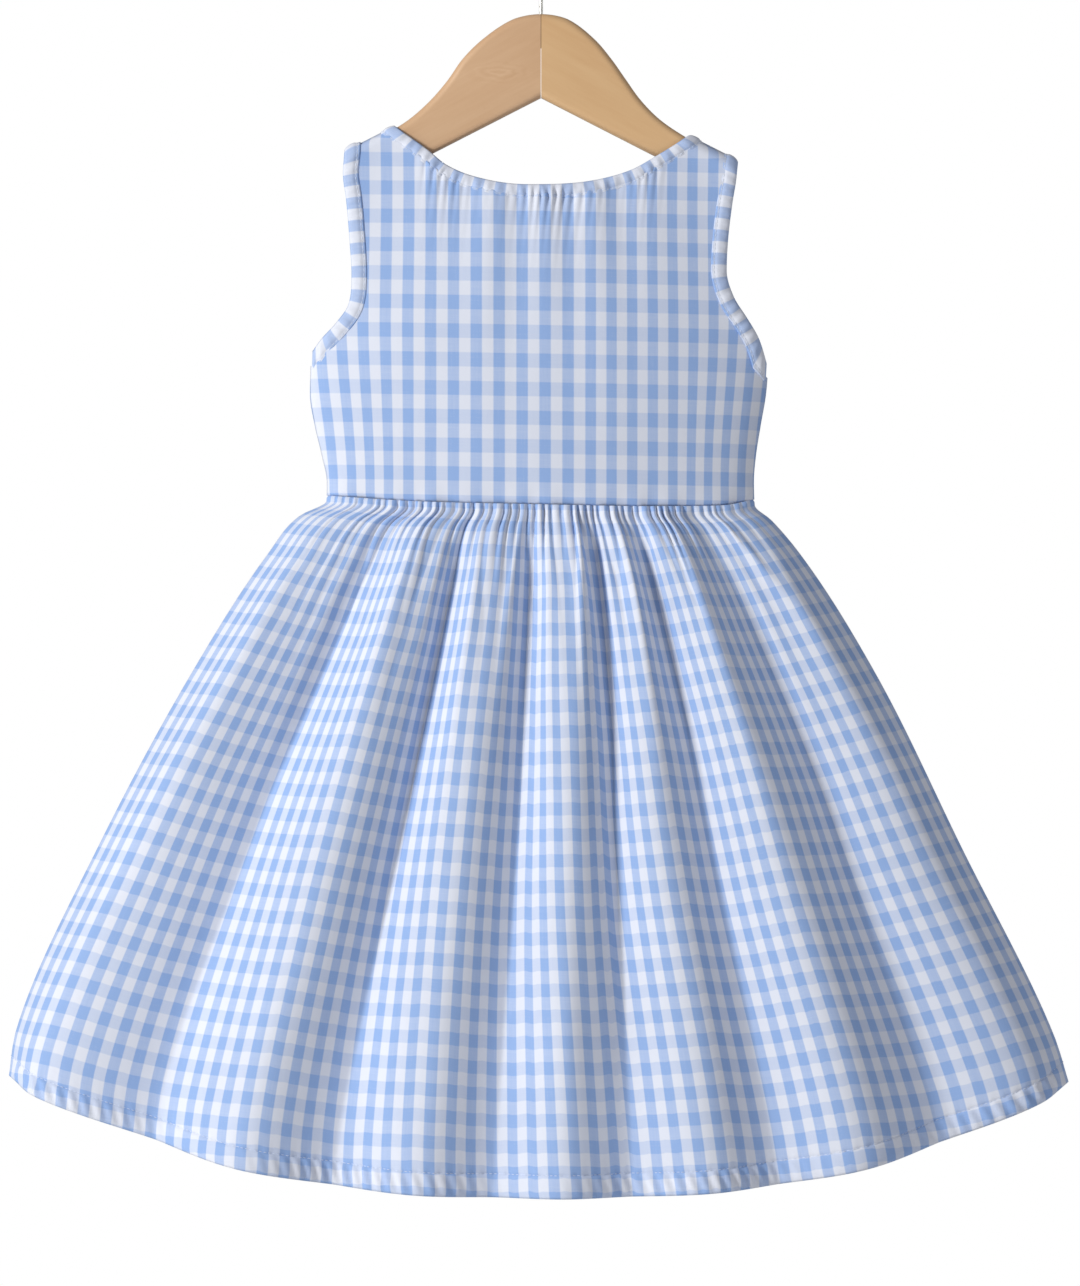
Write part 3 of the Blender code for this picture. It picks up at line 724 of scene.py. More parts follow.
def poly_curve(name: str, places: list[tuple[float, ...]], look: Material, **settings) -> Object:
    """A curve object with one straight-lined spline.

    Args:
        name: Name of the curve and its object.
        places: The spline's points.
        look: Its material.
        **settings: Attributes of the curve data.

    Returns:
        The object, in the scene.
    """
    curve = bpy.data.curves.new(name, "CURVE")
    for key, value in settings.items():
        setattr(curve, key, value)
    spline = curve.splines.new("POLY")
    spline.points.add(len(places) - 1)
    for point, place in zip(spline.points, places):
        point.co = (*place, 1)
    curve.materials.append(look)
    return link(bpy.data.objects.new(name, curve))


def cloth_shell(
    name: str,
    grid: Array,
    cloth: Array,
    wall: float,
    look: Material,
    outward: Array,
    hem_from: int | None = None,
    hem_wall: float = 1.4 * MM,
) -> Object:
    """A thin closed shell of cloth on a grid of points.

    Args:
        name: Name of the piece.
        grid: Rows of columns of points of its outer surface.
        cloth: The place of each point on the flat cloth, in metres.
        wall: Thickness, made inwards.
        look: Its material.
        outward: A direction that faces out.
        hem_from: First row that has the thicker wall, where there is one.
        hem_wall: The thicker wall.

    Returns:
        The piece as a plain mesh.
    """
    rows, columns = grid.shape[:2]
    index = np.arange(rows * columns).reshape(rows, columns)
    quads = np.stack([index[:-1, :-1], index[:-1, 1:], index[1:, 1:], index[1:, :-1]], axis=-1).reshape(-1, 4)
    middle = grid[rows // 2, columns // 2]
    edge_a = grid[rows // 2, columns // 2 + 1] - middle
    edge_b = grid[rows // 2 + 1, columns // 2] - middle
    if np.cross(edge_a, edge_b) @ outward < 0:
        quads = quads[:, ::-1]
    mesh = bpy.data.meshes.new(name)
    mesh.from_pydata(grid.reshape(-1, 3).tolist(), [], quads.tolist())
    layer = mesh.uv_layers.new(name="cloth")
    layer.data.foreach_set("uv", cloth.reshape(-1, 2)[quads.reshape(-1)].astype(np.float32).ravel())
    mesh.shade_smooth()
    mesh.materials.append(look)
    piece = link(bpy.data.objects.new(name + "_sheet", mesh))
    shell = piece.modifiers.new("Wall", "SOLIDIFY")
    shell.offset = -1
    shell.thickness = wall
    if hem_from is not None:
        group = piece.vertex_groups.new(name="turned_up")
        group.add(index[hem_from:].ravel().tolist(), 1, "REPLACE")
        shell.thickness = hem_wall
        shell.vertex_group = group.name
        shell.thickness_vertex_group = wall / hem_wall
    return plain_mesh(piece, name)


def dress_piece(piece: Object, slot: str, *nodes: str) -> None:
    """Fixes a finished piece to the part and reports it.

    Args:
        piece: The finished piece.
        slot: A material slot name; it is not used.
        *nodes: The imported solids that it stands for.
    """
    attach(piece, BODY)
    if nodes:
        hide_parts(*nodes)
    LOG.info("%s: %d faces", piece.name, len(piece.data.polygons))


@dataclass(frozen=True)
class StitchRow:
    """A row of machine stitches laid along a line on the cloth by Geometry Nodes."""

    thread: Material
    pitch: float = 3.0 * MM
    length: float = 2.1 * MM
    thickness: float = 0.42 * MM

    def tree(self) -> NodeTree:
        """The node tree: line, points at the stitch pitch, one bead on each."""
        made = bpy.data.node_groups.new("stitch_row", "GeometryNodeTree")
        face = made.interface
        face.new_socket("Geometry", in_out="INPUT", socket_type="NodeSocketGeometry")
        for name in ("Pitch", "Length", "Thickness"):
            face.new_socket(name, in_out="INPUT", socket_type="NodeSocketFloat")
        face.new_socket("Geometry", in_out="OUTPUT", socket_type="NodeSocketGeometry")
        start = add_node(made, "NodeGroupInput")
        curve = add_node(made, "GeometryNodeMeshToCurve", {0: start.outputs["Geometry"]})
        links = {"Curve": curve, "Length": start.outputs["Pitch"]}
        points = add_node(made, "GeometryNodeCurveToPoints", links, mode="LENGTH")
        bead = add_node(made, "GeometryNodeMeshUVSphere", {"Segments": 6, "Rings": 5, "Radius": 0.5})
        size = add_node(made, "ShaderNodeCombineXYZ", {
            0: start.outputs["Thickness"],
            1: start.outputs["Thickness"],
            2: start.outputs["Length"],
        })
        placed = add_node(made, "GeometryNodeInstanceOnPoints", {
            "Points": points.outputs["Points"],
            "Instance": bead.outputs["Mesh"],
            "Rotation": points.outputs["Rotation"],
            "Scale": size,
        })
        real = add_node(made, "GeometryNodeRealizeInstances", {0: placed})
        dressed = add_node(made, "GeometryNodeSetMaterial", {0: real, "Material": self.thread})
        add_node(made, "NodeGroupOutput", {0: dressed})
        return made

    def sew(self, name: str, lines: list[Array]) -> Object:
        """Sews along lines.

        Args:
            name: Name of the piece.
            lines: Points of each line.

        Returns:
            The stitches as one plain mesh.
        """
        mesh = bpy.data.meshes.new(name)
        points, edges = [], []
        for line in lines:
            first = len(points)
            points += line.tolist()
            edges += [(first + i, first + i + 1) for i in range(len(line) - 1)]
        mesh.from_pydata(points, edges, [])
        guide = link(bpy.data.objects.new(name + "_line", mesh))
        modifier = guide.modifiers.new("Stitches", "NODES")
        modifier.node_group = self.tree()
        sizes = {"Pitch": self.pitch, "Length": self.length, "Thickness": self.thickness}
        for item in modifier.node_group.interface.items_tree:
            if item.name in sizes:
                modifier[item.identifier] = sizes[item.name]
        sewn = plain_mesh(guide, name)
        sewn.data.shade_smooth()
        return sewn


@dataclass
class Bodice:
    """One bodice panel with its neck puckers and the soft drag lines below them."""

    face: Face
    name: str
    neck_drop: float = 0.0
    columns: int = 261
    armhole_rows: int = 90
    side_rows: int = 55
    tucked: float = 3 * MM
    cloth_wall: float = 0.6 * MM
    flat: tuple[float, float] = (0.305, 0.235)
    cut_area: float = 0.056
    column_shift: float = 2.6 * MM
    row_shift: float = -353.7 * MM
    row_ease: float = 17.4 / 18.2
    row_tilt: float = 0.02
    top_share: float = 0.72
    free_depth: float = 6 * MM
    pucker: float = 2.2 * MM
    pucker_fade: float = 13 * MM
    pucker_side: float = 84 * MM
    sway: float = 0.7 * MM
    seam_dip: float = 1.1 * MM
    seam_puckers: float = 0.35 * MM
    # The stripes near the side seams lean inwards towards the waist
    lean: float = 9 * MM
    lean_from: float = 78 * MM
    lean_width: float = 62 * MM
    lean_top: float = -255 * MM
    lean_height: float = 105 * MM
    narrow_from: float = 30 * MM
    narrow_by: float = 14.6 / 13.2
    # Drag lines from the neck band: place across, height or dip, reach down and half width
    drag_lines: dict[str, Array] = table_field("x height reach width", [
        (-70, 0.9, 60, 9),
        (-48, -0.8, 45, 8),
        (-31, 1.2, 70, 9),
        (-14, -1.3, 95, 10),
        (2, 1.0, 60, 10),
        (17, -0.9, 70, 8),
        (33, 1.1, 80, 9),
        (49, -1.0, 55, 8),
        (66, 0.8, 45, 9),
        (-100, -0.8, 120, 14),
        (98, -0.8, 120, 14),
    ])

    @property
    def shoulder_columns(self) -> int:
        """How many columns of the panel end at each shoulder seam."""
        return self.columns // 9

    def plane(self) -> Array:
        """Rows of places of the panel in the plane of the seams, from the waist up."""
        band = FORM.neck_band - self.tucked
        sides = []
        for hand in (Hand.LEFT, Hand.RIGHT):
            armhole = FORM.armhole(hand, self.armhole_rows, FORM.armhole_band - self.tucked)[::-1]
            low = float(FORM.waist_z(hand.value))
            heights = low + np.linspace(0, 1, self.side_rows)[:-1] * (armhole[0, 1] - low)
            widths = hand.value * FORM.side_width(hand, heights)
            sides.append(np.vstack([np.column_stack([widths, heights]), armhole]))
        left, right = sides
        shoulder = self.shoulder_columns
        neck = FORM.neck(self.columns - 2 * shoulder, self.neck_drop, band)
        share = np.linspace(0, 1, shoulder + 1)[:-1, None]
        top = np.vstack([
            left[-1] + (neck[0] - left[-1]) * share,
            neck,
            (right[-1] + (neck[-1] - right[-1]) * share)[::-1],
        ])
        across = np.interp(
            np.linspace(0, 1, len(top)),
            [0, shoulder / (len(top) - 1), 1 - shoulder / (len(top) - 1), 1],
            [-1, -self.top_share, self.top_share, 1],
        )
        across = 0.5 * across + 0.5 * np.linspace(-1, 1, len(top))
        widths = np.where(across < 0, FORM.bodice_side["left"][0], FORM.bodice_side["right"][0])
        bottom = np.column_stack([across * widths, FORM.waist_z(across)])
        u = (across + 1) / 2
        marks = lengths_along(left)
        rows = []
        for i, v in enumerate(marks / marks[-1]):
            row = (1 - v) * bottom + v * top
            row = row + np.outer(1 - u, left[i] - row[0]) + np.outer(u, right[i] - row[-1])
            rows.append(row)
        return np.array(rows)

    def relief(self, x: Array, z: Array) -> Array:
        """How far the cloth stands out from its plain form.

        Args:
            x: Places across.
            z: Heights.

        Returns:
            The offset outwards: neck puckers, drag lines and the dip along every seam.
        """
        neck = FORM.neck(200, self.neck_drop, FORM.neck_band)
        below = np.interp(x, neck[:, 0], neck[:, 1]) - z
        near = np.exp(-np.maximum(below, 0) / self.pucker_fade)
        gathered = ease((self.pucker_side - np.abs(x)) / (20 * MM)) * (0.55 + 0.45 * wave(x, 13, 1))
        pucker = np.abs(wave(math.pi * x, 5.4, 0.9 * wave(x, 9) + below / (16 * MM)))
        offset = self.pucker * near * gathered * (pucker - 0.5)
        for place, height, reach, width in zip(*self.drag_lines.values()):
            lean = place * (1 + 0.25 * below / (120 * MM))
            fade = np.exp(-np.maximum(below, 0) / reach)
            offset += height * fade * np.exp(-(((x - lean) / width) ** 2))
        offset += self.sway * wave(x, 31, 0.4) * wave(z, 52, 1.1)
        waist = z - FORM.waist_z(np.clip(x / FORM.waist_width, -1, 1))
        offset -= self.seam_dip * np.exp(-((waist / (2 * MM)) ** 2))
        small = wave(x, 4.1, wave(x, 11))
        offset += self.seam_puckers * np.exp(-((waist / (9 * MM)) ** 2)) * small
        return offset * ease(FORM.depth(x, z) / self.free_depth)

    def surface(self) -> tuple[Array, Array]:
        """The panel's outer surface and the place of each point on the flat cloth."""
        plane = self.plane()
        x, z = plane[..., 0], plane[..., 1]
        depth = FORM.depth(x, z)
        inner = np.stack([x, self.face.value * depth, z], axis=-1)
        normals = surface_normals(inner, self.face.outward)
        grid = inner + normals * (FORM.panel_wall + self.relief(x, z))[..., None]
        grid[: self.side_rows, [0, -1], 1] = 0
        grid[-1, : self.shoulder_columns + 1, 1] = 0
        grid[-1, -self.shoulder_columns - 1 :, 1] = 0
        low = ease((self.lean_top - z) / self.lean_height)
        outside = ease((np.abs(x) - self.lean_from) / self.lean_width)
        u = self.cloth_columns(x, depth) + np.sign(x) * self.lean * low * outside
        v = (z - self.row_shift + self.row_tilt * x) * self.row_ease
        return grid, np.stack([u, v], axis=-1)

    def cloth_columns(self, x: Array, depth: Array) -> Array:
        """Places across the flat cloth, measured along each row of points from the middle.

        Args:
            x: Rows of places across the dress.
            depth: Their depths.

        Returns:
            The place of each point; on the right the cloth's stripes are a little narrower.
        """
        steps = np.hypot(np.diff(x, axis=1), np.diff(depth, axis=1))
        around = np.concatenate([np.zeros((len(steps), 1)), np.cumsum(steps, axis=1)], axis=1)
        centre = np.array([np.interp(0, row_x, row) for row_x, row in zip(x, around)])
        u = around - centre[:, None]
        narrow = self.narrow_from + (u - self.narrow_from) * self.narrow_by
        return np.where(u > self.narrow_from, narrow, u) - self.column_shift

    def build(self, look: Material) -> None:
        """Makes the panel."""
        grid, cloth = self.surface()
        piece = cloth_shell(self.name + "_cloth", grid, cloth, self.cloth_wall, look, self.face.outward)
        dress_piece(piece, "gingham", self.name)


@dataclass
class Binding:
    """A folded band of the same cloth along an edge, with its row of stitches near the inner edge."""

    name: str
    node: str
    width: float
    crown: float = 0.7 * MM
    sunk: float = 0.6 * MM
    settle_top: float = -240 * MM
    settle_height: float = 20 * MM
    settle_depth: float = 9 * MM
    pucker: float = 0.35 * MM
    groove: float = 0.55 * MM
    underside: float = 0.1 * MM
    edge_lift: float = 0.9 * MM
    stitch_lift: float = 0.12 * MM
    row_shift: float = 4 * MM
    round_points: int = 12
    tilt: float = 0.3
    square_ends: float = 0.0
    stitch_at: float = 0.80
    rolled: float = 2.2 * MM

    def loft(
        self, outer: Array, inner: Array, facing: Array, ripple: Array | None = None
    ) -> tuple[Array, Array, Array]:
        """The band's closed cross sections along its length.

        Args:
            outer: Points along the garment's edge, in the plane of the seams.
            inner: Points along the band's inner edge.
            facing: -1 or 1 for each point, the side of the dress that it is on.
            ripple: How far the panel's puckers lift the inner edge at each point, where there are any.

        Returns:
            The grid of points, its cloth places, and the line of the stitches.
        """
        marks = lengths_along(outer)
        front = np.linspace(0, 1, self.round_points)
        shares = np.concatenate([front, front[-2:0:-1]])
        top_side = np.concatenate([np.ones(self.round_points), np.zeros(self.round_points - 2)])
        spread = outer[:, None] + shares[None, :, None] * (inner - outer)[:, None]
        depth = FORM.depth(spread[..., 0], spread[..., 1])
        base = np.stack([spread[..., 0], facing[:, None] * depth, spread[..., 1]], axis=-1)
        normals = self.normals(base[:, : self.round_points], depth[:, : self.round_points], facing)
        normals = np.concatenate([normals, normals[:, -2:0:-1]], axis=1)
        pucker = self.pucker * wave(2 * math.pi * marks, 6.8, 1.2 * wave(marks, 17))
        slant = np.sin(math.pi * shares) ** 0.7
        groove = self.groove * np.exp(-(((shares - self.stitch_at) * self.width / (0.8 * MM)) ** 2))
        rounded = np.sqrt(np.sin(math.pi * np.clip(shares, 0.02, 0.98)))
        crowned = self.sunk + (FORM.panel_wall + self.crown) * rounded
        raised = crowned[None] + pucker[:, None] * slant[None] - groove[None]
        if ripple is not None:
            raised = raised + ripple[:, None] * ease(shares)[None]
        lift = np.where(top_side[None] > 0, raised, self.underside)
        lift[:, 0] = self.edge_lift
        grid = base + normals * lift[..., None]
        u = np.repeat(marks[:, None], len(shares), axis=1)
        v = np.repeat((shares * self.width)[None], len(marks), axis=0)
        k = int(round(self.stitch_at * (self.round_points - 1)))
        line = grid[:, k] + normals[:, k] * self.stitch_lift
        return grid, np.stack([u, v + self.row_shift], axis=-1), line

    def normals(self, base: Array, depth: Array, facing: Array) -> Array:
        """Outward normals of the form under the band's top side.

        Args:
            base: Points on the form.
            depth: Their depths from the seam plane.
            facing: -1 or 1 for each row, the side of the dress that it is on.

        Returns:
            The normals, which turn square to the seam plane near the underarm where square_ends is 1.
        """
        flat = np.zeros(depth.shape)
        plain = np.stack([flat, facing[:, None] + flat, flat], axis=-1)
        out = plain + np.stack([self.tilt * np.sign(base[..., 0]), flat, flat + self.tilt], axis=-1)
        normals = surface_normals(base, out)
        low = ease((self.settle_top - base[..., 2]) / self.settle_height)
        near_seam = ease(1 - depth / self.settle_depth)
        settle = (self.square_ends * low * near_seam)[..., None]
        return unit(normals * (1 - settle) + plain * settle)

    def mesh(self, grid: Array, cloth: Array, look: Material) -> Object:
        """Closes the sections into a tube with ends.

        Args:
            grid: Cross sections along the band.
            cloth: Cloth places of their points.
            look: The material.

        Returns:
            The band as an object.
        """
        rows, around = grid.shape[:2]
        index = np.arange(rows * around).reshape(rows, around)
        beside = np.roll(index, -1, axis=1)
        quads = np.stack([index[:-1], beside[:-1], beside[1:], index[1:]], axis=-1).reshape(-1, 4)
        faces = quads.tolist() + [index[0, ::-1].tolist(), index[-1].tolist()]
        mesh = bpy.data.meshes.new(self.name)
        mesh.from_pydata(grid.reshape(-1, 3).tolist(), [], faces)
        layer = mesh.uv_layers.new(name="cloth")
        places = cloth.reshape(-1, 2)
        corners = [corner for face in faces for corner in face]
        layer.data.foreach_set("uv", places[corners].astype(np.float32).ravel())
        close_up(mesh)
        mesh.shade_smooth()
        mesh.materials.append(look)
        return link(bpy.data.objects.new(self.name, mesh))

    def finish(self, piece: Object, outer: Array) -> None:
        """Fixes the band to the part."""
        dress_piece(piece, "binding", self.node)


@dataclass
class NeckBinding(Binding):
    """The half of the neck band on one side of the dress."""

    face: Face = Face.SHOWN
    drop: float = 0.0
    points: int = 360
    crown: float = 0.25 * MM

    def build(self, look: Material) -> Array:
        """Makes the band and returns the line that its stitches follow."""
        outer = FORM.neck(self.points, self.drop)
        inner = FORM.neck(self.points, self.drop, self.width)
        facing = np.full(len(outer), self.face.value)
        panel = Bodice(self.face, self.node, self.drop)
        x, z = inner.T
        grid, cloth, line = self.loft(outer, inner, facing, panel.relief(x, z))
        columns = panel.cloth_columns(x[None], FORM.depth(x, z)[None])
        cloth[..., 0] = columns.T
        self.finish(self.mesh(grid, cloth, look), outer)
        return line


@dataclass
class ArmholeBinding(Binding):
    """The band round one armhole, in front from the underarm over the shoulder and down behind."""

    hand: Hand = Hand.LEFT
    points: int = 230
    square_ends: float = 1.0

    def build(self, look: Material) -> Array:
        """Makes the band and returns the line that its stitches follow."""
        outer = FORM.armhole(self.hand, self.points)
        inner = FORM.armhole(self.hand, self.points, self.width)
        both_outer = np.vstack([outer[::-1], outer[1:]])
        both_inner = np.vstack([inner[::-1], inner[1:]])
        facing = np.concatenate([np.full(len(outer), -1), np.full(len(outer) - 1, 1)])
        grid, cloth, line = self.loft(both_outer, both_inner, facing)
        self.finish(self.mesh(grid, cloth, look), both_outer)
        return line


FRONT_FOLDS = table("waist middle hem height sharp", [
    (-0.84, -0.90, -0.93, 8, 0),
    (-0.61, -0.69, -0.735, -11.5, 0.6),
    (-0.45, -0.49, -0.555, 9.5, 0),
    (-0.31, -0.34, -0.39, -9, 0.9),
    (-0.17, -0.19, -0.225, 6.5, 0),
    (-0.04, -0.055, -0.09, -6.5, 0.7),
    (0.09, 0.073, 0.045, 7, 0),
    (0.24, 0.193, 0.17, -6.5, 0.9),
    (0.335, 0.305, 0.315, 5.5, 0),
    (0.42, 0.43, 0.45, -6.5, 0.7),
    (0.55, 0.58, 0.59, 8, 0),
    (0.69, 0.75, 0.76, -8, 0.8),
    (0.87, 0.915, 0.93, 5.5, 0),
], 1)

BACK_FOLDS = table("waist middle hem height sharp", [
    (-0.92, -0.92, -0.93, -3.5, 0.2),
    (-0.76, -0.79, -0.83, 8, 0),
    (-0.60, -0.62, -0.66, -8, 0.7),
    (-0.47, -0.46, -0.50, 8, 0),
    (-0.34, -0.33, -0.35, -7.5, 0.8),
    (-0.22, -0.20, -0.19, 6.5, 0),
    (-0.10, -0.09, -0.05, -6, 0.6),
    (0.03, 0.04, 0.08, 6, 0),
    (0.15, 0.17, 0.22, -6.5, 0.8),
    (0.27, 0.30, 0.36, 6.5, 0),
    (0.42, 0.45, 0.50, -7, 0.7),
    (0.58, 0.61, 0.65, 7, 0),
    (0.74, 0.77, 0.80, -7, 0.5),
    (0.87, 0.89, 0.91, 4, 0),
], 1)

SECTION_COLUMNS = "drop left right shown behind round"

# Creases between the main folds: place at their top and foot, the shares of the drop where they start,
# are highest and end, height in millimetres and half width as a share of the half width
FRONT_CREASES = table("top foot start crest end height width", [
    (-0.88, -0.90, 0.02, 0.20, 0.75, 2.4, 0.050),
    (-0.70, -0.735, 0.02, 0.16, 0.55, 2.6, 0.045),
    (-0.63, -0.66, 0.02, 0.10, 0.42, 2.6, 0.035),
    (-0.51, -0.53, 0.02, 0.14, 0.60, 2.4, 0.040),
    (-0.37, -0.385, 0.01, 0.12, 0.55, 2.8, 0.030),
    (-0.235, -0.27, 0.01, 0.15, 0.70, 2.8, 0.035),
    (-0.10, -0.12, 0.01, 0.10, 0.45, 2.6, 0.030),
    (0.02, 0.01, 0.01, 0.16, 0.80, 2.2, 0.028),
    (0.135, 0.115, 0.01, 0.12, 0.50, 2.6, 0.030),
    (0.165, 0.145, 0.01, 0.07, 0.30, 2.4, 0.022),
    (0.255, 0.23, 0.01, 0.10, 0.40, 2.6, 0.025),
    (0.345, 0.33, 0.01, 0.13, 0.50, 2.4, 0.025),
    (0.44, 0.46, 0.01, 0.10, 0.42, 2.8, 0.030),
    (0.56, 0.60, 0.02, 0.18, 0.75, 2.6, 0.040),
    (0.70, 0.735, 0.02, 0.12, 0.50, 2.6, 0.035),
    (0.76, 0.785, 0.02, 0.20, 0.70, 2.0, 0.040),
    (0.88, 0.90, 0.02, 0.16, 0.65, 2.2, 0.045),
    (0.80, 0.89, 0.00, 0.05, 0.26, 2.8, 0.030),
    (-0.79, -0.80, 0.50, 0.80, 1.10, 1.8, 0.050),
    (-0.59, -0.60, 0.55, 0.85, 1.15, -1.6, 0.045),
    (-0.29, -0.30, 0.50, 0.80, 1.10, 1.6, 0.040),
    (0.10, 0.095, 0.45, 0.80, 1.15, -1.6, 0.035),
    (0.35, 0.355, 0.45, 0.80, 1.10, 1.6, 0.035),
    (0.62, 0.63, 0.50, 0.80, 1.15, 1.8, 0.045),
    (0.78, 0.775, 0.55, 0.85, 1.15, -1.6, 0.045),
], 1)

BACK_CREASES = table("top foot start crest end height width", [
    (-0.84, -0.87, 0.02, 0.18, 0.70, 2.4, 0.050),
    (-0.67, -0.70, 0.02, 0.14, 0.50, 2.6, 0.040),
    (-0.54, -0.55, 0.02, 0.12, 0.55, 2.6, 0.035),
    (-0.40, -0.40, 0.01, 0.14, 0.60, 2.4, 0.035),
    (-0.28, -0.27, 0.01, 0.10, 0.45, 2.8, 0.030),
    (-0.15, -0.13, 0.01, 0.15, 0.65, 2.6, 0.035),
    (-0.04, -0.02, 0.01, 0.12, 0.50, 2.4, 0.028),
    (0.09, 0.12, 0.01, 0.16, 0.70, 2.4, 0.032),
    (0.21, 0.25, 0.01, 0.10, 0.45, 2.8, 0.030),
    (0.35, 0.39, 0.01, 0.14, 0.60, 2.6, 0.035),
    (0.50, 0.54, 0.02, 0.12, 0.50, 2.6, 0.040),
    (0.66, 0.70, 0.02, 0.18, 0.70, 2.4, 0.045),
    (0.81, 0.84, 0.02, 0.14, 0.55, 2.2, 0.040),
    (-0.72, -0.73, 0.50, 0.80, 1.10, 1.8, 0.050),
    (-0.26, -0.27, 0.50, 0.85, 1.10, 1.6, 0.040),
    (0.14, 0.15, 0.45, 0.80, 1.15, 1.6, 0.040),
    (0.57, 0.58, 0.50, 0.80, 1.10, 1.8, 0.045),
], 1)


@dataclass
class Skirt:
    """One skirt panel: a straight width of cloth gathered into the waist seam, its hem turned up."""

    face: Face
    name: str
    folds: dict[str, Array]
    creases: dict[str, Array]
    seed: int
    columns: int = 468
    gathers: int = 52
    gather_height: float = 4.2 * MM
    side_gathers: float = 0.35
    cut_width: float = 0.80
    cloth_wall: float = 0.6 * MM
    samples: int = 3001
    fold_middle: float = 0.45
    side_loss: float = 0.05
    row_ease: float = 17.4 / 16.5
    section_table: dict[str, Array] = table_field(SECTION_COLUMNS, [
        (0, 136.2, 135.6, 27, 27, 1.2),
        (0.009, 136.2, 135.6, 27, 27, 1.2),
        (0.035, 153.5, 146.2, 29, 29, 1.2),
        (0.1, 173.6, 166.5, 34, 33, 1.15),
        (0.3, 221.2, 213.2, 47, 45, 1.05),
        (0.6, 281.2, 268.4, 65, 61, 1),
        (0.92, 334.5, 327, 82, 76, 1),
        (1, 339.3, 336.4, 85, 79, 1),
    ], 1)
    growth: dict[str, Array] = table_field("drop fold", [
        (0, 0.12),
        (0.03, 0.35),
        (0.09, 0.8),
        (0.19, 1.15),
        (0.30, 1.3),
        (0.70, 1.35),
        (1, 1.3),
    ], 1)
    cloth_settles: float = 0.19
    gather_window: float = 0.035
    gather_span: float = 0.985
    gather_widths: tuple[float, float] = (0.6, 1.45)
    gather_heights: tuple[float, float] = (0.6, 1.25)
    swapped_share: float = 0.2
    widenings: tuple[float, float] = (1.9, 0.35)
    seam_share: float = 0.6
    reaches: tuple[tuple[float, float], ...] = ((0.24, 0.46), (0.06, 0.17))
    seam_tuck: float = 1.0 * MM
    groove: float = 0.55 * MM
    stitch_pucker: float = 0.3 * MM
    hem_swell: float = 0.45 * MM
    hem_pucker: float = 1.0 * MM
    hem_round: float = 0.7 * MM
    pucker_reach: float = 12 * MM
    stitch_lift: float = 0.15 * MM
    flank_cloth: float = 1.2
    even_cloth: float = 0.35

    def drops(self) -> Array:
        """Rows from the waist to the hem as shares of the length, closer at the gathers and the hem."""
        stitches = FORM.skirt_length - FORM.hem_turn
        top = np.array([0, 0.6, 1.4, 2.4, 3.6, 5, 6.6, 8.4, 10.5, 13]) * MM
        gathered = np.arange(16, 85, 3.2) * MM
        smooth = np.linspace(88 * MM, stitches - 7 * MM, 34)
        near_hem = np.array([-4, -2, -1, -0.4, 0, 0.4, 1, 2, 3.5, 5.5, 7.5, 9.5, 11.5, 13.5, 15]) * MM
        return np.concatenate([top, gathered, smooth, stitches + near_hem]) / FORM.skirt_length

    def section(self, drop: float) -> tuple[float, float, float, float]:
        """Half widths, depth and roundness of the skirt's section at a share of its length."""
        sizes = self.section_table
        side = "shown" if self.face is Face.SHOWN else "behind"
        found = [float(monotone(sizes["drop"], sizes[key], drop)) for key in ("left", "right", side, "round")]
        return found[0] * MM, found[1] * MM, found[2] * MM, found[3]

    def fold_offset(self, across: Array, drop: float) -> Array:
        """How far the main folds move the cloth outwards: round ridges with crisper valleys.

        Args:
            across: Places as shares of the half width.
            drop: Share of the length from the waist.

        Returns:
            The offset at each place.
        """
        folds = self.folds
        if drop < self.fold_middle:
            places = folds["waist"] + (folds["middle"] - folds["waist"]) * drop / self.fold_middle
        else:
            lower = (drop - self.fold_middle) / (1 - self.fold_middle)
            places = folds["middle"] + (folds["hem"] - folds["middle"]) * lower
        places = np.concatenate([[-1], places, [1]])
        heights = np.concatenate([[0], folds["height"] * MM, [0]])
        sharp = np.concatenate([[0], folds["sharp"], [0]]) * (1 - 0.6 * ease((drop - self.fold_middle) / 0.5))
        k = np.clip(np.searchsorted(places, across) - 1, 0, len(places) - 2)
        share = np.clip((across - places[k]) / (places[k + 1] - places[k]), 0, 1)
        soft = ease(share)
        into = 1 - np.cos(share * math.pi / 2)
        out_of = np.sin(share * math.pi / 2)
        crisp_end = sharp[k + 1] * into + (1 - sharp[k + 1]) * soft
        crisp_start = sharp[k] * out_of + (1 - sharp[k]) * soft
        rising = heights[k + 1] > heights[k]
        shape = np.where(rising, crisp_start, crisp_end)
        growth = float(monotone(self.growth["drop"], self.growth["fold"], drop))
        return growth * (heights[k] + (heights[k + 1] - heights[k]) * shape)

    def crease_offset(self, across: Array, drop: float) -> Array:
        """How far the creases between the main folds move the cloth outwards."""
        total = np.zeros_like(across)
        for top, foot, start, crest, end, height, width in zip(*self.creases.values()):
            if not start < drop < end:
                continue
            rise = ease((drop - start) / (crest - start)) * ease((end - drop) / (end - crest))
            place = top + (foot - top) * ease((drop - start) / (end - start))
            spread = width * (0.6 + 0.6 * drop / end)
            total += height * MM * float(rise) * np.exp(-(((across - place) / spread) ** 2))
        return total

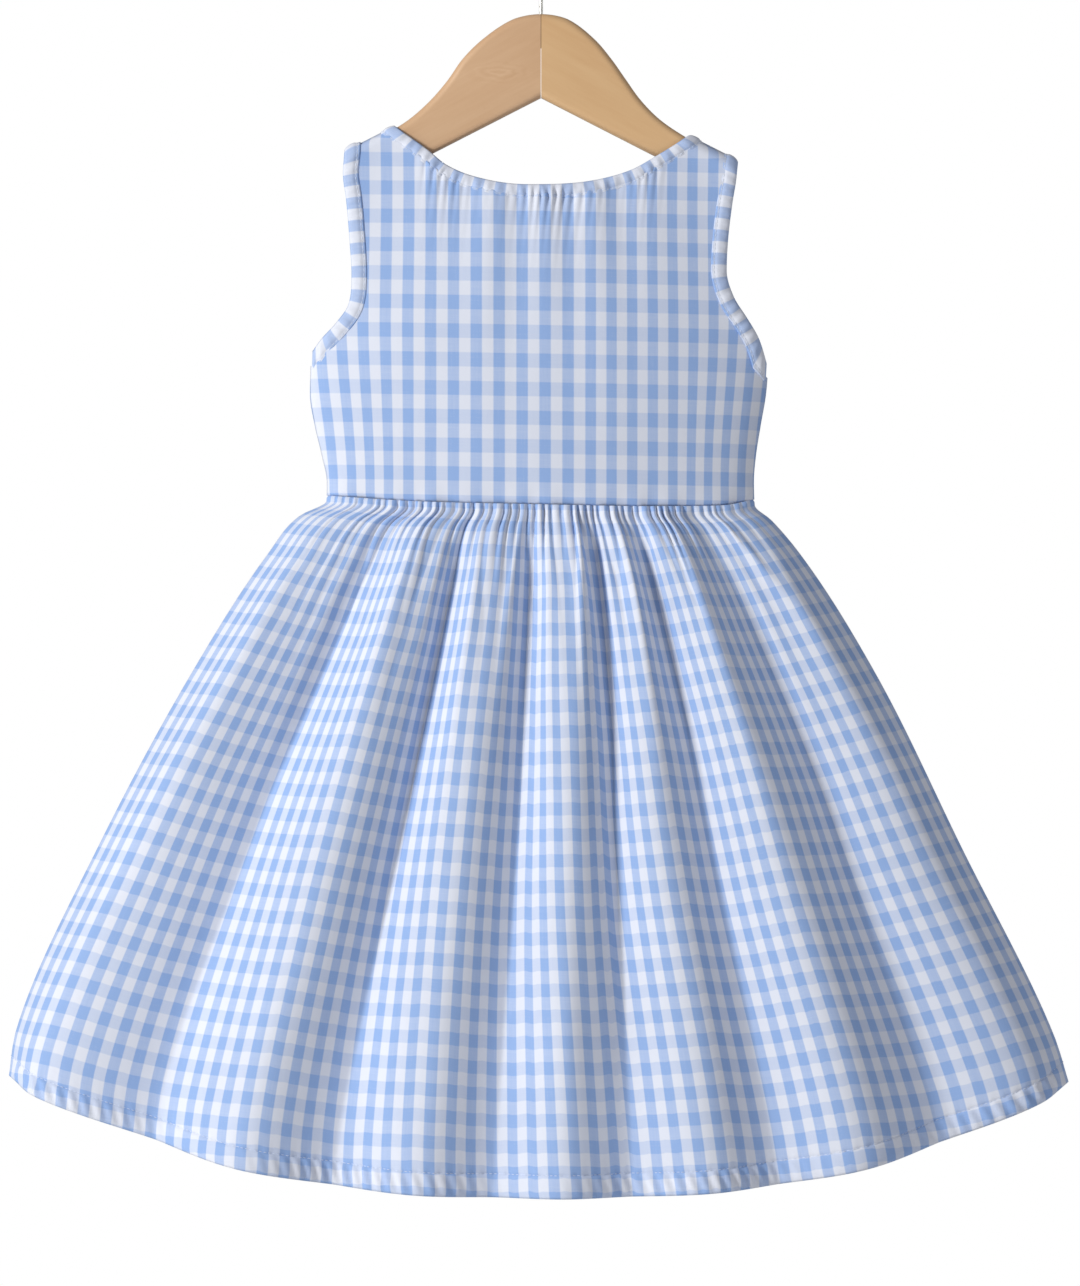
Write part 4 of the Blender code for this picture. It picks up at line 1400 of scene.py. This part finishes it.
    def gather_table(self) -> dict[str, Array]:
        """Uneven gathers: centre, half width, height, reach and widening of each. One in three is long."""
        uneven = np.random.default_rng(self.seed)
        widths = uneven.uniform(*self.gather_widths, self.gathers)
        edges = np.concatenate([[0], np.cumsum(widths)])
        edges = self.gather_span * (2 * edges / edges[-1] - 1)
        centres = (edges[1:] + edges[:-1]) / 2
        lasting = np.arange(self.gathers) % 3 == uneven.integers(0, 3)
        swapped = uneven.random(self.gathers) < self.swapped_share
        lasting = np.where(swapped, ~lasting, lasting)
        return {
            "centre": centres,
            "half": np.diff(edges) / 2,
            "height": uneven.uniform(*self.gather_heights, self.gathers),
            "reach": np.where(lasting, *(uneven.uniform(*ends, self.gathers) for ends in self.reaches)),
            "spread": np.where(lasting, *self.widenings),
        }

    def gather_offset(self, gathers: dict[str, Array], across: Array, drop: float) -> Array:
        """How far the gathers move the cloth outwards.

        Args:
            gathers: The table of uneven gathers.
            across: Places as shares of the half width.
            drop: Share of the length from the waist.

        Returns:
            The offset at each place, the highest of the gathers that reach it.
        """
        springs = self.seam_share + (1 - self.seam_share) * ease(drop / 0.012)
        fade = np.clip(1 - drop / gathers["reach"], 0, 1)
        half = gathers["half"] * (1.06 + gathers["spread"] * ease(drop / 0.2))
        distance = (across[:, None] - gathers["centre"][None]) / half[None]
        heights = self.gather_height * springs * gathers["height"] * fade
        sides = ease((1 - np.abs(across)) / 0.05)
        sides *= self.side_gathers + (1 - self.side_gathers) * ease((0.9 - np.abs(across)) / 0.35)
        return np.max(bump(distance) * heights[None], axis=1) * sides

    def row(self, gathers: dict[str, Array], drop: float) -> tuple[Array, Array, Array]:
        """One row of the panel.

        Args:
            gathers: The table of uneven gathers.
            drop: Share of the length from the waist.

        Returns:
            Its outer points, the cloth place of each across, and the places across.
        """
        folded, normal, across = self.folded_line(drop)
        marks = lengths_along(folded)
        gathered = self.gather_offset(gathers, across, drop)
        _, cloth_steps = self.cloth_spread(max(drop, self.cloth_settles))
        local = 1 + self.flank_cloth * np.abs(np.gradient(gathered, marks))
        local = local / self.near_average(local, across)
        cloth_steps = cloth_steps * (local[1:] + local[:-1]) / 2
        cloth = np.concatenate([[0], np.cumsum(cloth_steps * self.cut_width / cloth_steps.sum())])
        tucked = self.seam_tuck * math.exp(-((drop * FORM.skirt_length / (1.3 * MM)) ** 2))
        full = folded + normal * (gathered + FORM.panel_wall - tucked)[:, None]
        even = np.linspace(0, marks[-1], self.columns + 1)
        x, y, place, u = (np.interp(even, marks, v) for v in (full[:, 0], full[:, 1], across, cloth))
        y[0] = y[-1] = 0
        top = FORM.waist_z(place)
        z = top + drop * (FORM.hem_z(place) - top)
        return np.column_stack([x, y, z]), u - self.cut_width / 2, place

    def folded_line(self, drop: float) -> tuple[Array, Array, Array]:
        """The section with its main folds and creases, before the gathers.

        Args:
            drop: Share of the length from the waist.

        Returns:
            Points in plan, their outward normals, and their places as shares of the half width.
        """
        left, right, depth, side_round = self.section(drop)
        facing = self.face.value
        turn = np.linspace(-math.pi / 2, math.pi / 2, self.samples)
        across = np.sin(turn)
        widths = np.where(turn < 0, left, right)
        flat = np.abs(np.cos(turn))
        spread = widths * flat
        swell = depth * side_round * flat ** (side_round - 1) * np.sin(turn)
        spread[0] = spread[-1] = 0
        swell[0], swell[-1] = -depth, depth
        size = np.hypot(spread, swell)
        normal = np.column_stack([swell / size, facing * spread / size])
        plan = np.column_stack([across * widths, facing * depth * flat**side_round])
        lift = self.fold_offset(across, drop) + self.crease_offset(across, drop)
        return plan + normal * lift[:, None], normal, across

    def cloth_spread(self, drop: float) -> tuple[Array, Array]:
        """How much cloth lies between the sampled places of a row: more where the folds are steep.

        Args:
            drop: Share of the length from the waist.

        Returns:
            The places and the cloth between each and the next.
        """
        folded, _, across = self.folded_line(drop)
        marks = lengths_along(folded)
        steps = np.diff(marks)
        hidden = self.even_cloth + np.abs(np.gradient(self.fold_offset(across, drop), marks))
        hidden = (hidden[1:] + hidden[:-1]) / 2 * steps
        return across, steps + hidden * (self.cut_width - marks[-1]) / hidden.sum()

    def near_average(self, values: Array, across: Array) -> Array:
        """The average of values over a few gathers on both sides of each place."""
        gaps = np.gradient(across)
        total = np.concatenate([[0], np.cumsum(values * gaps)])[1:]
        length = np.concatenate([[0], np.cumsum(gaps)])[1:]
        low, high = across - self.gather_window, across + self.gather_window
        area = np.interp(high, across, total) - np.interp(low, across, total)
        return area / (np.interp(high, across, length) - np.interp(low, across, length))

    def hem_relief(self, cloth: Array, places: Array, length: float) -> Array:
        """The groove of the hem's stitches and the slanting puckers of the turned-up edge.

        Args:
            cloth: Cloth places across, for each point.
            places: Shares of the half width.
            length: How far below the stitches the row is, negative above them.

        Returns:
            The offset outwards.
        """
        groove = -self.groove * math.exp(-((length / (0.9 * MM)) ** 2))
        ends = ease((1 - np.abs(places)) / 0.03)
        if length <= 0:
            above = math.exp(length / (3 * MM))
            return (groove + self.stitch_pucker * above * wave(2 * math.pi * cloth, 7.9)) * ends
        share = length / FORM.hem_turn
        lean = cloth - 5 * MM * share
        puckers = wave(2 * math.pi * lean, 8.6, 1.4 * wave(cloth, 23))
        strong = 0.5 + 0.5 * wave(cloth, 37, self.seed)
        body = math.sin(math.pi * min(share, 1)) ** 0.6
        round_over = -self.hem_round * float(ease((share - 0.75) / 0.25))
        return (groove + body * (self.hem_swell + self.hem_pucker * strong * puckers) + round_over) * ends

    def surface(self) -> tuple[Array, Array, int]:
        """The panel's outer surface, its cloth places and the first row of the turned-up hem."""
        gathers = self.gather_table()
        drops = self.drops()
        rows, cloths = [], []
        for drop in drops:
            points, u, places = self.row(gathers, drop)
            rows.append(points)
            cloths.append((u, places))
        grid = np.array(rows)
        normals = surface_normals(grid, self.face.outward)
        stitch = 1 - FORM.hem_turn / FORM.skirt_length
        first_hem = int(np.argmin(np.abs(drops - stitch)))
        for i, drop in enumerate(drops):
            below = (drop - stitch) * FORM.skirt_length
            if below >= -self.pucker_reach:
                grid[i] += normals[i] * self.hem_relief(*cloths[i], below)[:, None]
        grid[:, [0, -1], 1] = 0
        down = np.linalg.norm(np.diff(grid, axis=0), axis=2)
        fallen = np.concatenate([np.zeros((1, down.shape[1])), np.cumsum(down, axis=0)])
        fallen = fallen * FORM.skirt_length / np.median(fallen[-1])
        across = np.array([places for _, places in cloths])
        fallen = fallen * (1 - self.side_loss * across**2) * self.row_ease
        u = np.array([u for u, _ in cloths])
        return grid, np.stack([u, -fallen], axis=-1), first_hem

    def build(self, look: Material) -> Array:
        """Makes the panel and returns the line that the hem's stitches follow."""
        grid, cloth, first_hem = self.surface()
        outward = self.face.outward
        piece = cloth_shell(self.name + "_cloth", grid, cloth, self.cloth_wall, look, outward, first_hem)
        dress_piece(piece, "gingham", self.name)
        normals = surface_normals(grid, outward)
        return grid[first_hem] + normals[first_hem] * self.stitch_lift


@dataclass
class Hanger:
    """The wooden hanger: two shaped boards that meet at a centre seam, and the wire hook."""

    thickness: float = 12 * MM
    rounding: float = 4.5 * MM
    top: float = -58 * MM
    notch: float = -107.3 * MM
    fall: float = 0.555
    heel: float = 106 * MM
    seam: float = 0.3 * MM
    wire: float = 1.2 * MM
    hook_radius: float = 19 * MM
    neck_z: float = -46 * MM
    bore: float = 22 * MM
    turn: tuple[float, float] = (-50, 200)
    pull: float = 9 * MM
    tip_taper: float = 0.6
    sharp_wood: float = 40
    sharp_wire: float = 60
    top_edge: dict[str, Array] = table_field("left_x left_z right_x right_z", [
        (9, -59, 9, -59),
        (18.6, -61.8, 17.9, -61.8),
        (37.8, -74.6, 34.6, -74.6),
        (50.6, -87.4, 45.4, -87.4),
        (59.5, -100.2, 54.4, -100.2),
        (70.4, -113, 63.6, -113),
        (84.5, -125.6, 76, -125.6),
        (97, -133.4, 94, -137.7),
        (113, -141.1, 113, -147.7),
    ])
    tip: dict[str, Array] = table_field("x left_top left_low right_top right_low", [
        (118, -146, -155, -152.5, -161),
    ])

    def outline(self, hand: Hand) -> list[tuple[float, float]]:
        """The outline of one board, from the top of the centre seam round to the notch."""
        word = hand.word
        edge = np.column_stack([self.top_edge[word + "_x"], self.top_edge[word + "_z"]])
        edge = np.vstack([[self.seam / 2, self.top], edge])
        smooth = along(edge, np.linspace(0, 1, 60))
        x = float(self.tip["x"][0])
        end = [(x, float(self.tip[f"{word}_{key}"][0])) for key in ("top", "low")]
        heel = [(self.heel, self.notch - self.fall * self.heel), (self.seam / 2, self.notch)]
        return [(hand.value * px, pz) for px, pz in [tuple(p) for p in smooth] + end + heel]

    def board(self, hand: Hand, look: Material) -> None:
        """Makes one board with rounded edges, square at the centre seam."""
        name = f"hanger_arm_{hand.word}"
        past = 2 * self.rounding
        outline = [(x - hand.value * past * (abs(x) <= self.seam), z, 0) for x, z in self.outline(hand)]
        flat = poly_curve(
            name + "_curve", outline, look,
            dimensions="2D", fill_mode="BOTH", extrude=self.thickness / 2 - self.rounding,
            bevel_depth=self.rounding, bevel_resolution=6, offset=-self.rounding,
        )
        flat.data.splines[0].use_cyclic_u = True
        flat.rotation_euler = (math.pi / 2, 0, 0)
        piece = plain_mesh(flat, name + "_wood")
        close_up(piece.data, True, (Vector((hand.value * self.seam / 2, 0, 0)), Vector((-hand.value, 0, 0))))
        piece.data.shade_smooth()
        piece.data.set_sharp_from_angle(angle=math.radians(self.sharp_wood))
        dress_piece(piece, "pale_wood" if hand is Hand.LEFT else "golden_wood", name)

    def route(self) -> list[tuple[float, float, float]]:
        """Points of the hook's wire, from the bottom of its shank to its tip."""
        ring = self.hook_radius + self.wire
        centre = -self.hook_radius
        first_turn, last_turn = (math.radians(degrees) for degrees in self.turn)
        neck = np.array([0.0, self.neck_z])
        join = np.array([ring * math.cos(first_turn), centre + ring * math.sin(first_turn)])
        leave = neck + np.array([0.0, self.pull])
        arrive = join - np.array([-math.sin(first_turn), math.cos(first_turn)]) * self.pull
        shank = [np.array([0.0, z]) for z in np.linspace(self.top - self.bore, self.neck_z, 6)[:-1]]
        bend = []
        for u in np.linspace(0, 1, 14)[:-1]:
            first = neck * (1 - u) ** 3 + 3 * leave * u * (1 - u) ** 2
            bend.append(first + 3 * arrive * u * u * (1 - u) + join * u**3)
        arc = [np.array([ring * math.cos(a), centre + ring * math.sin(a)])
               for a in np.linspace(first_turn, last_turn, 60)]
        return [(float(x), 0.0, float(z)) for x, z in shank + bend + arc]

    def hook(self, look: Material) -> None:
        """Makes the wire hook with a rounded tip."""
        settings = {"bevel_depth": self.wire, "bevel_resolution": 6, "use_fill_caps": True}
        bent = poly_curve("hook_curve", self.route(), look, dimensions="3D", **settings)
        spline = bent.data.splines[0]
        spline.points[-1].radius = self.tip_taper
        spline.use_smooth = True
        piece = plain_mesh(bent, "hook_wire")
        close_up(piece.data, True)
        piece.data.shade_smooth()
        piece.data.set_sharp_from_angle(angle=math.radians(self.sharp_wire))
        dress_piece(piece, "wire", "hook")

    def build(self) -> None:
        """Makes the boards and the hook."""
        slope = math.atan(self.fall)
        pale = SandedBeech("sanded_pale_beech", "#D8B592", "#C39A74", slope, knot=(-27 * MM, -96 * MM))
        golden = SandedBeech("sanded_golden_beech", "#DDB98C", "#CCA173", -slope)
        self.board(Hand.LEFT, pale.build())
        self.board(Hand.RIGHT, golden.build())
        self.hook(PlatedWire().build())


@dataclass(frozen=True)
class Studio:
    """Camera at the photograph's angle, soft lights and a pale floor."""

    pixel: float = 0.64 * MM
    image: tuple[int, int] = (1080, 1286)
    centre_column: float = 541
    top_row: float = 14
    top_z: float = -58 * MM
    distance: float = 5.0
    sensor: float = 36
    aim: tuple[float, float, float] = (0, 0, -0.45)
    floor_z: float = -1.45
    sky: float = 0.26
    sky_tint: str = "#F6F8FF"

    def camera(self) -> None:
        """Sets the camera straight on, so that one pixel is 0.64 mm at the plane of the side seams."""
        width, height = self.image
        data = bpy.data.cameras.new("camera")
        data.sensor_fit = "HORIZONTAL"
        data.sensor_width = self.sensor
        data.lens = self.sensor * self.distance / (width * self.pixel)
        data.clip_end = 60
        camera = link(bpy.data.objects.new("camera", data))
        x = (width / 2 - self.centre_column) * self.pixel
        z = self.top_z - (height / 2 - self.top_row) * self.pixel
        camera.location = (x, -self.distance, z)
        camera.rotation_euler = (math.pi / 2, 0, 0)
        bpy.context.scene.camera = camera

    def light(
        self, name: str, place: tuple[float, float, float], size: float, power: float, tint: str
    ) -> None:
        """A soft square light that faces the middle of the dress.

        Args:
            name: Its name.
            place: Where it stands.
            size: Its side.
            power: Its power in watts.
            tint: Its colour.
        """
        data = bpy.data.lights.new(name, "AREA")
        data.shape = "SQUARE"
        data.size = size
        data.energy = power
        data.color = linear_colour(tint)[:3]
        lamp = link(bpy.data.objects.new(name, data))
        lamp.location = place
        lamp.rotation_euler = (Vector(self.aim) - Vector(place)).to_track_quat("-Z", "Y").to_euler()

    def backdrop(self) -> None:
        """A white surround: bright behind the dress, and a dimmer even light on it."""
        world = bpy.data.worlds.new("white_studio")
        world.use_nodes = True
        tree = world.node_tree
        tree.nodes.clear()
        seen = add_node(tree, "ShaderNodeLightPath").outputs["Is Camera Ray"]
        white = add_node(tree, "ShaderNodeBackground", {"Color": (1, 1, 1, 1), "Strength": 1.0})
        links = {"Color": linear_colour(self.sky_tint), "Strength": self.sky}
        soft = add_node(tree, "ShaderNodeBackground", links)
        both = add_node(tree, "ShaderNodeMixShader", {0: seen, 1: soft, 2: white})
        add_node(tree, "ShaderNodeOutputWorld", {0: both})
        bpy.context.scene.world = world
        bpy.context.scene.view_settings.view_transform = "Standard"

    def floor(self) -> None:
        """The pale floor, well below the dress."""
        mesh = bpy.data.meshes.new("floor")
        work = bmesh.new()
        bmesh.ops.create_grid(work, x_segments=1, y_segments=1, size=3)
        work.to_mesh(mesh)
        work.free()
        mesh.transform(Matrix.Translation((0, 0, self.floor_z)))
        mesh.materials.append(PalePaper().build())
        link(bpy.data.objects.new("floor", mesh))

    def build(self) -> None:
        """Sets up the studio."""
        self.camera()
        self.backdrop()
        self.floor()
        self.light("key", (-4.9, -3.3, 1.2), 1.3, 345, "#FFFDF8")
        self.light("fill", (5.2, -3.0, 0.3), 2.0, 50, "#FFFDF8")


def main() -> None:
    """Builds every sub-assembly in order."""
    logging.basicConfig(level=logging.INFO, format="%(name)s: %(message)s")
    gingham = GinghamCotton().build()
    thread = StitchRow(CottonThread().build())
    Studio().build()
    Hanger().build()
    Bodice(Face.SHOWN, "bodice_front").build(gingham)
    Bodice(Face.BEHIND, "bodice_back", neck_drop=BACK_NECK_DROP).build(gingham)
    hem = [
        Skirt(Face.SHOWN, "skirt_front", FRONT_FOLDS, FRONT_CREASES, seed=11).build(gingham),
        Skirt(Face.BEHIND, "skirt_back", BACK_FOLDS, BACK_CREASES, seed=23).build(gingham),
    ]
    neck, arms = [], []
    for side, face, drop in (("front", Face.SHOWN, 0.0), ("back", Face.BEHIND, BACK_NECK_DROP)):
        names = f"neck_band_{side}", f"neck_binding_{side}"
        neck.append(NeckBinding(*names, FORM.neck_band, face=face, drop=drop).build(gingham))
    for hand in Hand:
        names = f"armhole_band_{hand.word}", f"armhole_binding_{hand.word}"
        arms.append(ArmholeBinding(*names, FORM.armhole_band, hand=hand).build(gingham))
    for name, lines in (("hem_stitches", hem), ("neck_stitches", neck), ("armhole_stitches", arms)):
        dress_piece(thread.sew(name, lines), "binding")


if __name__ == "__main__":
    main()
